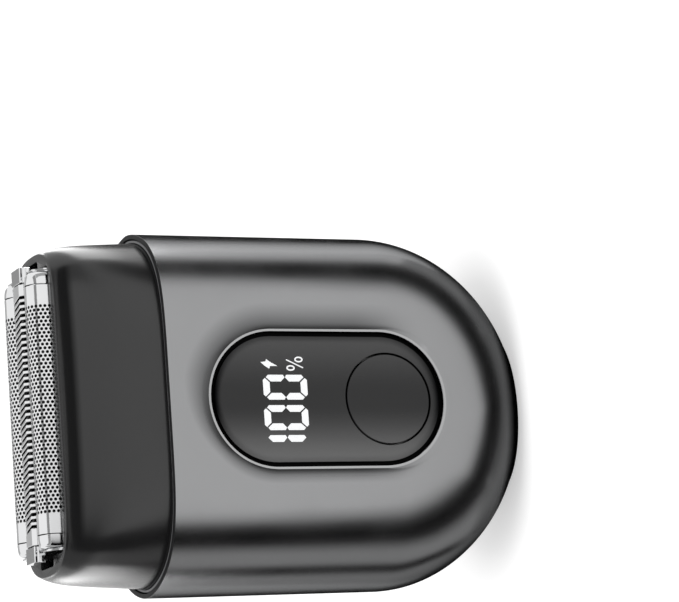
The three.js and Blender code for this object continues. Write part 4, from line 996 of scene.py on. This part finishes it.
cover = {
    "bottomZ": 64.6, "joinZ": 65.3, "topZ": 81.9, "columns": 200, "rows": 26, "innerRows": 8,
    # half width, half depth and the roundness of sides and faces, below and above
    "below": (28.5, 14.1, 4.92, 1.68), "above": (26.0, 10.2, 8.7, 2.43),
    "bends": ((0.44, 8), (0.4, 6)),     # how late the width and the depth draw in
    "wall": 1.4, "roof": 1.5, "edge": 0.22, "spacing": 1.25,
    "foilWindow": (23.15, 8.1, 0.9), "combWindow": (24.75, 3.2, 0.6), "windowEdge": 0.06, "windowDepth": 6,
}


def coverRing(z, inset=0.0):
    rise = held((z - cover["joinZ"]) / (cover["topZ"] - cover["joinZ"]))
    runs = [(1 - bend) * rise + bend * rise ** power for bend, power in cover["bends"]] + [rise, rise]
    wide, deep, side, face = (low + (high - low) * run
                              for low, high, run in zip(cover["below"], cover["above"], runs))
    return [(*section(turn, wide - inset, deep - inset, side, face), z) for turn in coverTurns]


coverTurns = columnAngles([lambda turn: section(turn, *cover["below"]),
                           lambda turn: section(turn, *cover["above"])], cover["columns"])


def windowCutter(halfX, halfY, corner):
    soft, top = cover["windowEdge"], cover["topZ"]
    levels = [(soft, top + 1), (soft, top), (0.3 * soft, top - 0.3 * soft), (0, top - soft),
              (0, top - cover["windowDepth"])]
    return ringStack("windowCutter", [
        [(x, y, z) for x, y in roundedOutline(halfX + grow, halfY + grow, corner + grow)]
        for grow, z in levels])


def makeCover():
    bottom, top, wall, edge, rows, inner = (
        cover[key] for key in ("bottomZ", "topZ", "wall", "edge", "rows", "innerRows"))
    roofZ = top - cover["roof"]
    rings = [coverRing(roofZ - (roofZ - bottom) * row / inner, wall) for row in range(inner + 1)]
    rings += [coverRing(bottom + (top - edge - bottom) * (1 - (1 - row / rows) ** cover["spacing"]))
              for row in range(rows + 1)]
    for pull, short in quarterRound(4, edge)[1:]:
        rings.append([(x - math.copysign(min(pull, abs(x)), x), y - math.copysign(min(pull, abs(y)), y),
                       top - short) for x, y, _ in coverRing(top - edge)])
    piece = ringStack("headCover", rings)
    cutWith(piece, windowCutter(*cover["foilWindow"]))
    cutWith(piece, windowCutter(*cover["combWindow"]))
    return smoothByAngle(piece, 32)


finishPiece(makeCover(), "softBlack", "head", "black_plastic", "head_cover")
print("head cover done")


# the two perforated foils, bent from one flat lattice, with their domed ends

foil = {
    "pitch": 0.72, "hole": 0.262, "holeSides": 12, "columns": 27, "rows": 18, "thickness": 0.05,
    "halfLength": 20.0, "radius": 2.5, "axisY": 5.17, "axisZ": 82.4, "skirt": 3.35, "steps": 48,
    "ragged": 0.19, "border": 0.7,      # the lattice's uneven end, and the plain strip beyond it
    # the arch runs into side walls that lean out a little before they drop straight
    "lean": 14.0, "leanDrop": 1.3, "kink": (0.02, 0.15),
}
foilTotal = 2 * foil["skirt"] + math.pi * foil["radius"]    # the flat sheet's length over the arch
sides = ((-1, "front"), (1, "rear"))
ends = ((-1, "left"), (1, "right"))


def archLine(radius, bottom, steps):
    # half of the arch from its crown down, as places across and up from the arch's middle
    lean, drop = math.radians(foil["lean"]), foil["leanDrop"]
    turns = [(math.pi / 2 - lean) * k / steps for k in range(steps + 1)]
    line = [(radius * math.sin(turn), radius * math.cos(turn)) for turn in turns]
    across, up = line[-1]
    across += drop * math.tan(lean)
    out, down = foil["kink"]
    return line + [(across, up - drop), (across + out, up - drop - down), (across + out, bottom)]


def alongLine(line, run):
    for (x, y), (nextX, nextY) in zip(line, line[1:]):
        length = math.hypot(nextX - x, nextY - y)
        if run <= length:
            return x + (nextX - x) * run / length, y + (nextY - y) * run / length
        run -= length
    return line[-1]


foilLine = archLine(foil["radius"], -foil["skirt"], foil["steps"])


def archPoint(x, run, side):
    # a point of the flat sheet, wrapped over the arch
    across, up = alongLine(foilLine, abs(run - foilTotal / 2))
    across = math.copysign(across, run - foilTotal / 2)
    return Vector((x, across + side * foil["axisY"], foil["axisZ"] + up)) * mm


def makeFoilLattice():
    # one six-sided cell with its hole, then rows and columns of it; seams mark the holes
    pitch, count, hole = foil["pitch"], foil["holeSides"], foil["hole"]
    deselectAll()
    bpy.ops.mesh.primitive_circle_add(vertices=count, radius=hole * mm, fill_type="NOTHING")
    sheet = rename("foilLattice")
    bpy.ops.object.mode_set(mode="EDIT")
    bpy.ops.mesh.select_all(action="SELECT")
    bpy.ops.mesh.extrude_edges_move()
    mesh = bmesh.from_edit_mesh(sheet.data)
    mesh.verts.ensure_lookup_table()
    for k in range(count):
        turn = 2 * math.pi * k / count
        cell = pitch / math.sqrt(3) if k % 2 == 0 else pitch / 2
        for vert, reach in ((mesh.verts[k], hole), (mesh.verts[k + count], cell)):
            vert.co = Vector((math.cos(turn), math.sin(turn), 0)) * reach * mm
    for edge in mesh.edges:
        edge.seam = all(vert.index < count for vert in edge.verts)
    bmesh.update_edit_mesh(sheet.data)
    bpy.ops.object.mode_set(mode="OBJECT")
    across = pitch * math.sqrt(3)
    repeatAlong(sheet, 2, across / 2, pitch / 2)
    repeatAlong(sheet, foil["columns"], across)
    repeatAlong(sheet, foil["rows"], 0, pitch)
    faceOutwards(sheet)
    # centred along the foil and over the arch
    firstX, half = across * (foil["columns"] - 0.5) / 2, foil["halfLength"]
    startRun = (foilTotal - pitch * (foil["rows"] - 0.5)) / 2
    for vert in sheet.data.vertices:
        vert.co.x -= firstX * mm
        vert.co.y += startRun * mm
    # plain borders grow from the ragged edge of the lattice to straight lines
    for end in (-1, 1):
        selectEdges(sheet, lambda edge: edge.is_boundary and not edge.seam and all(
            end * vert.co.x > (firstX + foil["ragged"]) * mm for vert in edge.verts))
        for reach in (firstX + foil["border"], half):
            extrudeSelected(sheet, lambda place: Vector((end * reach * mm, place.y, place.z)))
    for low, level in ((True, 0), (False, foilTotal)):
        selectEdges(sheet, lambda edge: edge.is_boundary and not edge.seam and all(
            (vert.co.y < foilTotal / 2 * mm) == low for vert in edge.verts) and not all(
            abs(vert.co.x) > (half - 0.01) * mm for vert in edge.verts))
        extrudeSelected(sheet, lambda place: Vector((place.x, level * mm, 0)))
    deselectAll()
    return sheet


def makeFoil(name, lattice, side):
    piece = duplicate(lattice, name)
    for vert in piece.data.vertices:
        vert.co = archPoint(vert.co.x / mm, vert.co.y / mm, side)
    faceOutwards(piece)
    crown = max(piece.data.polygons, key=lambda face: face.center.z)
    if crown.normal.z < 0:
        piece.data.flip_normals()
    applyModifier(piece, "SOLIDIFY", thickness=foil["thickness"] * mm, offset=-1, use_even_offset=True)
    return smoothByAngle(piece, 40)


def facesInward(place, normal, side):
    away = Vector((0, place.y - side * foil["axisY"], max(0.0, place.z - foil["axisZ"])))
    return normal.dot(away) < -0.5 * away.length


foilLattice = makeFoilLattice()
for side, place in sides:
    piece = finishPiece(makeFoil("foil" + place.capitalize(), foilLattice, side), "brightChrome",
                        "foil_" + place, "chrome", "foil_" + place)
    # the foil's inner faces take the nearly black steel: painted shade under the foil
    secondLook(piece, "paintedShadeSteel", lambda place, normal: facesInward(place, normal, side))
bpy.data.objects.remove(foilLattice, do_unlink=True)
print("foils done")

cutterRow = {
    "radius": 2.3, "half": 1.95, "stepZ": 82.0, "stepDrop": 0.3, "bottomZ": 77.7, "halfLength": 17.4,
    "slotPitch": 0.62, "slotWidth": 0.3, "slotReach": 3, "slots": 55, "rootZ": 81.6, "slotTopZ": 86,
    "postX": 10.0, "socketRadius": 0.75, "socketTopZ": 81.2,
}


def makeCutter(name, side):
    # a bar with an arched top, cut into thin blades that run close under the foil
    centreY, radius, half = side * foil["axisY"], cutterRow["radius"], cutterRow["half"]
    stepZ, low, long = cutterRow["stepZ"], cutterRow["bottomZ"], cutterRow["halfLength"]
    outline = circle(radius, 40, centreY, foil["axisZ"])[:21]
    under = stepZ - cutterRow["stepDrop"]
    outline += [(centreY - radius, stepZ), (centreY - half, under), (centreY - half, low),
                (centreY + half, low), (centreY + half, under), (centreY + radius, stepZ)]
    piece = prism(name, outline, -long, long, "x")
    wide, pitch, reach = cutterRow["slotWidth"] / 2, cutterRow["slotPitch"], cutterRow["slotReach"]
    first = -pitch * (cutterRow["slots"] - 1) / 2
    corners = [(first + x * wide, centreY + y * reach) for x, y in ((-1, -1), (1, -1), (1, 1), (-1, 1))]
    slots = prism("bladeSlots", corners, cutterRow["rootZ"], cutterRow["slotTopZ"], "z")
    repeatAlong(slots, cutterRow["slots"], pitch)
    cutWith(piece, slots)
    for end, hand in ends:
        socket = circle(cutterRow["socketRadius"], 16, end * cutterRow["postX"], centreY)
        cutWith(piece, prism("postSocket", socket, low - 1, cutterRow["socketTopZ"], "z"))
    return smoothByAngle(piece, 30)


# the cutters take the nearly black steel: painted shade seen through the foils' holes
for side, place in sides:
    finishPiece(makeCutter("cutterRow" + place.capitalize(), side), "paintedShadeSteel", "cutter_" + place, "steel",
                "cutter_block_" + place)
print("cutters done")

foilCap = {
    "start": 20.2, "end": 22.35, "radius": 2.55, "slices": 12, "arcSteps": 20, "bottomZ": 81.2,
    "axisZ": 82.34, "lip": (22.5, 22.72), "neckInset": 0.35,
    "lipLine": [(0.9, 1.6), (2.4, 0.1), (2.62, -0.6), (2.62, -1.2)],
    "plugRadius": 1.9, "plugReach": 1.2, "plugBottomZ": 79.2, "plugSteps": 16,
    "legX": (20.6, 22.45), "legHalf": 1.5, "legBottomZ": 76.7,
    # how far the dome's end draws in: at first slowly, then round the corner
    "drawIn": 0.09, "roundOff": 0.28,
}


def archOutline(radius, centreY, bottomZ, steps, turned=1.0):
    # the end draws in from the sides and sinks from the top, keeping its foot
    half = archLine(radius, bottomZ - foilCap["axisZ"], steps)
    foot = half[-1][1]
    half = [(across * turned, foilCap["axisZ"] + foot + (up - foot) * turned) for across, up in half]
    return ([(centreY + across, z) for across, z in reversed(half)]
            + [(centreY - across, z) for across, z in half[1:]])


def makeLeg(name, values, end, centreY, top):
    # the leg that stands on its spring in the frame's pocket
    start, stop = sorted(end * reach for reach in values["legX"])
    outline = roundedOutline((stop - start) / 2, values["legHalf"], 0.3, 4, ((start + stop) / 2, centreY))
    return prism(name, outline, values["legBottomZ"], top, "z")


def makeFoilCap(name, side, end):
    centreY, slices, start, stop = side * foil["axisY"], foilCap["slices"], foilCap["start"], foilCap["end"]
    rings = []
    for share in (math.sin(math.pi / 2 * k / slices) for k in range(slices + 1)):
        turned = (1 - foilCap["drawIn"] * share ** 2
                  - foilCap["roundOff"] * (1 - math.sqrt(1 - 0.98 * share ** 8)))
        outline = archOutline(foilCap["radius"], centreY, foilCap["bottomZ"], foilCap["arcSteps"], turned)
        rings.append([(end * (start + (stop - start) * share), y, z) for y, z in outline])
    pieces = [ringStack(name, rings)]
    lipStart, lipStop = foilCap["lip"]
    for inset, near, far in ((foilCap["neckInset"], stop - 0.1, lipStart + 0.05), (0, lipStart, lipStop)):
        right = [(across - inset, up - inset) for across, up in reversed(foilCap["lipLine"])]
        outline = [(centreY + across, foilCap["axisZ"] + up) for across, up in mirrored(right)]
        pieces.append(prism(name, outline, end * near, end * far, "x"))
    plug = archOutline(foilCap["plugRadius"], centreY, foilCap["plugBottomZ"], foilCap["plugSteps"])
    plugStart = foil["halfLength"] - foilCap["plugReach"]
    pieces.append(prism(name, plug, end * plugStart, end * (start + 1), "x"))
    pieces.append(makeLeg(name, foilCap, end, centreY, foilCap["bottomZ"] + 0.1))
    return smoothByAngle(joinInto(*pieces), 40)


for side, place in sides:
    for end, hand in ends:
        name = "foilCap" + place.capitalize() + hand.capitalize()
        finishPiece(makeFoilCap(name, side, end), "brightChrome", "foil_" + place, "chrome",
                    f"foil_cap_{place}_{hand}")
print("foil ends done")

# the slotted comb between the foils, with its square ends

comb = {
    "halfLength": 21.2, "halfWidth": 2.3, "crownHalf": 1.5, "topZ": 84.7, "bottomZ": 79.5, "shoulder": 0.66,
    "wall": 0.45, "slotPitch": 0.98, "slotWidth": 0.5, "slotDepth": 2.1, "slots": 39, "lead": 0.27,
}


def combOutline(inset):
    wide, top, crown = comb["halfWidth"] - inset, comb["topZ"] - inset, comb["crownHalf"] - 0.5 * inset
    eave = top - comb["shoulder"]
    return mirrored([(wide, comb["bottomZ"] - 2 * inset), (wide, eave - 0.12), (wide - 0.03, eave - 0.02),
                     (wide - 0.1, eave + 0.08), (crown + 0.12, top - 0.12), (crown, top - 0.03),
                     (crown - 0.14, top)])


def makeComb():
    long, crown, pitch = comb["halfLength"], comb["crownHalf"], comb["slotPitch"]
    piece = prism("trimmerComb", combOutline(0), -long, long, "x")
    cutWith(piece, prism("combHollow", combOutline(comb["wall"]), -long - 1, long + 1, "x"))
    # one slot leans across the crown and runs straight over both shoulders
    reach, lean, half = comb["halfWidth"] + 0.5, comb["lead"] * crown, comb["slotWidth"] / 2
    first = -pitch * (comb["slots"] - 1) / 2
    path = [(-reach, lean), (-crown, lean), (crown, -lean), (reach, -lean)]
    outline = [(first + x + half, y) for y, x in path] + [(first + x - half, y) for y, x in reversed(path)]
    slots = prism("combSlots", outline, comb["topZ"] - comb["slotDepth"], comb["topZ"] + 1, "z")
    repeatAlong(slots, comb["slots"], pitch)
    cutWith(piece, slots)
    softenEdges(piece, 40)
    return smoothByAngle(piece, 30)


piece = finishPiece(makeComb(), "brightChrome", "trimmer", "chrome", "trimmer_comb")
# below the shoulders the comb takes the nearly black steel: painted shade inside the cover
secondLook(piece, "paintedShadeSteel", lambda place, normal: place.z < comb["topZ"] - comb["shoulder"] - 0.15)
print("comb done")

combCap = {
    "start": 21.4, "end": 23.95, "topZ": 84.65, "eaveZ": 82.85, "plugReach": 1.4,
    # in from the side and down from the top
    "corner": [(0, 0.8), (0.05, 0.66), (0.26, 0.54), (0.26, 0.4), (0.2, 0.3), (0.2, 0.14), (0.33, 0)],
    "legX": (21.7, 23.4), "legHalf": 1.65, "legBottomZ": 76.7,
}


def makeCombCap(name, end):
    wide, top, eave = comb["halfWidth"], combCap["topZ"], combCap["eaveZ"]
    outline = mirrored([(wide, eave)] + [(wide - inwards, top - down) for inwards, down in combCap["corner"]])
    head = prism(name, outline, end * combCap["start"], end * combCap["end"], "x")
    softenEdges(head, 60)
    # the plug stays above the comb's lower edge, clear of the frame when the comb sinks
    outline = [(y, max(z, comb["bottomZ"])) for y, z in combOutline(comb["wall"] + 0.3)]
    plugStart = comb["halfLength"] - combCap["plugReach"]
    plug = prism(name, outline, end * plugStart, end * (combCap["start"] + 0.5), "x")
    return smoothByAngle(joinInto(head, plug, makeLeg(name, combCap, end, 0, eave + 0.2)), 35)


for end, hand in ends:
    piece = finishPiece(makeCombCap("combCap" + hand.capitalize(), end), "brightChrome", "trimmer", "chrome",
                        "trimmer_cap_" + hand)
    secondLook(piece, "satinTop", lambda place, normal: normal.z > 0.95 and place.z > combCap["topZ"] - 0.15)
    # below the eave the cap takes the black of the cover: painted shade under the cap
    secondLook(piece, "softBlack", lambda place, normal: place.z < combCap["eaveZ"] + 0.01)
print("comb ends done")


# the springs under the foils, the comb and the blades: each is squeezed by the joint that it carries

coil = {"wire": 0.16, "turns": 3.5, "stepsPerTurn": 20, "sides": 8, "flatEnd": 0.12}
springSeats = {
    # how the node's name starts: the joint that squeezes it and the body that it stands on
    "foil_spring_front": ("foil_front_float", "head"),
    "foil_spring_rear": ("foil_rear_float", "head"),
    "trimmer_float_spring": ("trimmer_float", "head"),
    "cutter_spring_front": ("cutter_front_float", "bridge"),
    "cutter_spring_rear": ("cutter_rear_float", "bridge"),
    "trimmer_blade_spring": ("trimmer_blade_float", "bridge"),
}


def makeCoil(name, radius, height):
    # round wire wound upwards, with an end that lies flat below and above
    wire, flat, steps = coil["wire"], coil["flatEnd"], coil["stepsPerTurn"]
    count = int(coil["turns"] * steps)
    rings = []
    for k in range(count + 1):
        turn = 2 * math.pi * k / steps
        level = wire + (height - 2 * wire) * held((k / count - flat) / (1 - 2 * flat))
        rings.append([(across * math.cos(turn), across * math.sin(turn), up)
                      for across, up in circle(wire, coil["sides"], radius, level)])
    return smoothByAngle(ringStack(name, rings), 50)


coils = {}
for start, (joint, body) in springSeats.items():
    for end, hand in ends:
        node = start + "_" + hand
        low, high = (Vector(corner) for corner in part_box(node))
        size = round((high.x - low.x) / 2 / mm - coil["wire"], 1), round((high.z - low.z) / mm, 1)
        if size not in coils:
            coils[size] = makeCoil("coilPattern", *size)
        words = node.split("_")
        piece = duplicate(coils[size], words[0] + "".join(word.capitalize() for word in words[1:]))
        piece.data.transform(Matrix.Translation(((low.x + high.x) / 2, (low.y + high.y) / 2, low.z)))
        finishPiece(piece, "springWire", body, "spring_steel", node)
        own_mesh(piece)
for pattern in coils.values():
    bpy.data.objects.remove(pattern, do_unlink=True)
print("springs done")


# CAD pieces that keep their own shape get their looks here

keptLooks = {
    "mouldedBlack": ["chassis_frame", "drive_deck"],
    "mouldedGrey": ["foil_frame"],
    "milkyWhite": ["display_module", "drive_bridge"],
    "solderGreen": ["main_board", "charge_board"],
    "cellWrap": ["battery_cell"],
    "groundSteel": ["usb_socket", "motor_can", "tact_switch"],
    # the cutters and the trimmer blade keep the nearly black steel of painted shade
    "paintedShadeSteel": ["cutter_block_front", "cutter_block_rear", "trimmer_blade"],
    "turnedBrass": ["eccentric_cam"],
    "softBlack": ["head_cover"], "satinGunmetal": ["body_shell"], "collarGrey": ["collar_ring"],
    "glossBlack": ["display_lens", "power_button"],
}
springWords = ("spring", "rail", "screw", "shaft")
for name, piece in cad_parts.items():
    look = next((key for key, names in keptLooks.items() if name in names), None)
    if look is None:
        look = "springWire" if any(word in name for word in springWords) else "brightChrome"
    if not piece.data.materials:
        piece.data.materials.append(finish[look])
    for place in range(len(piece.data.materials)):
        piece.data.materials[place] = finish[look]
print("CAD pieces finished")

deselectAll()
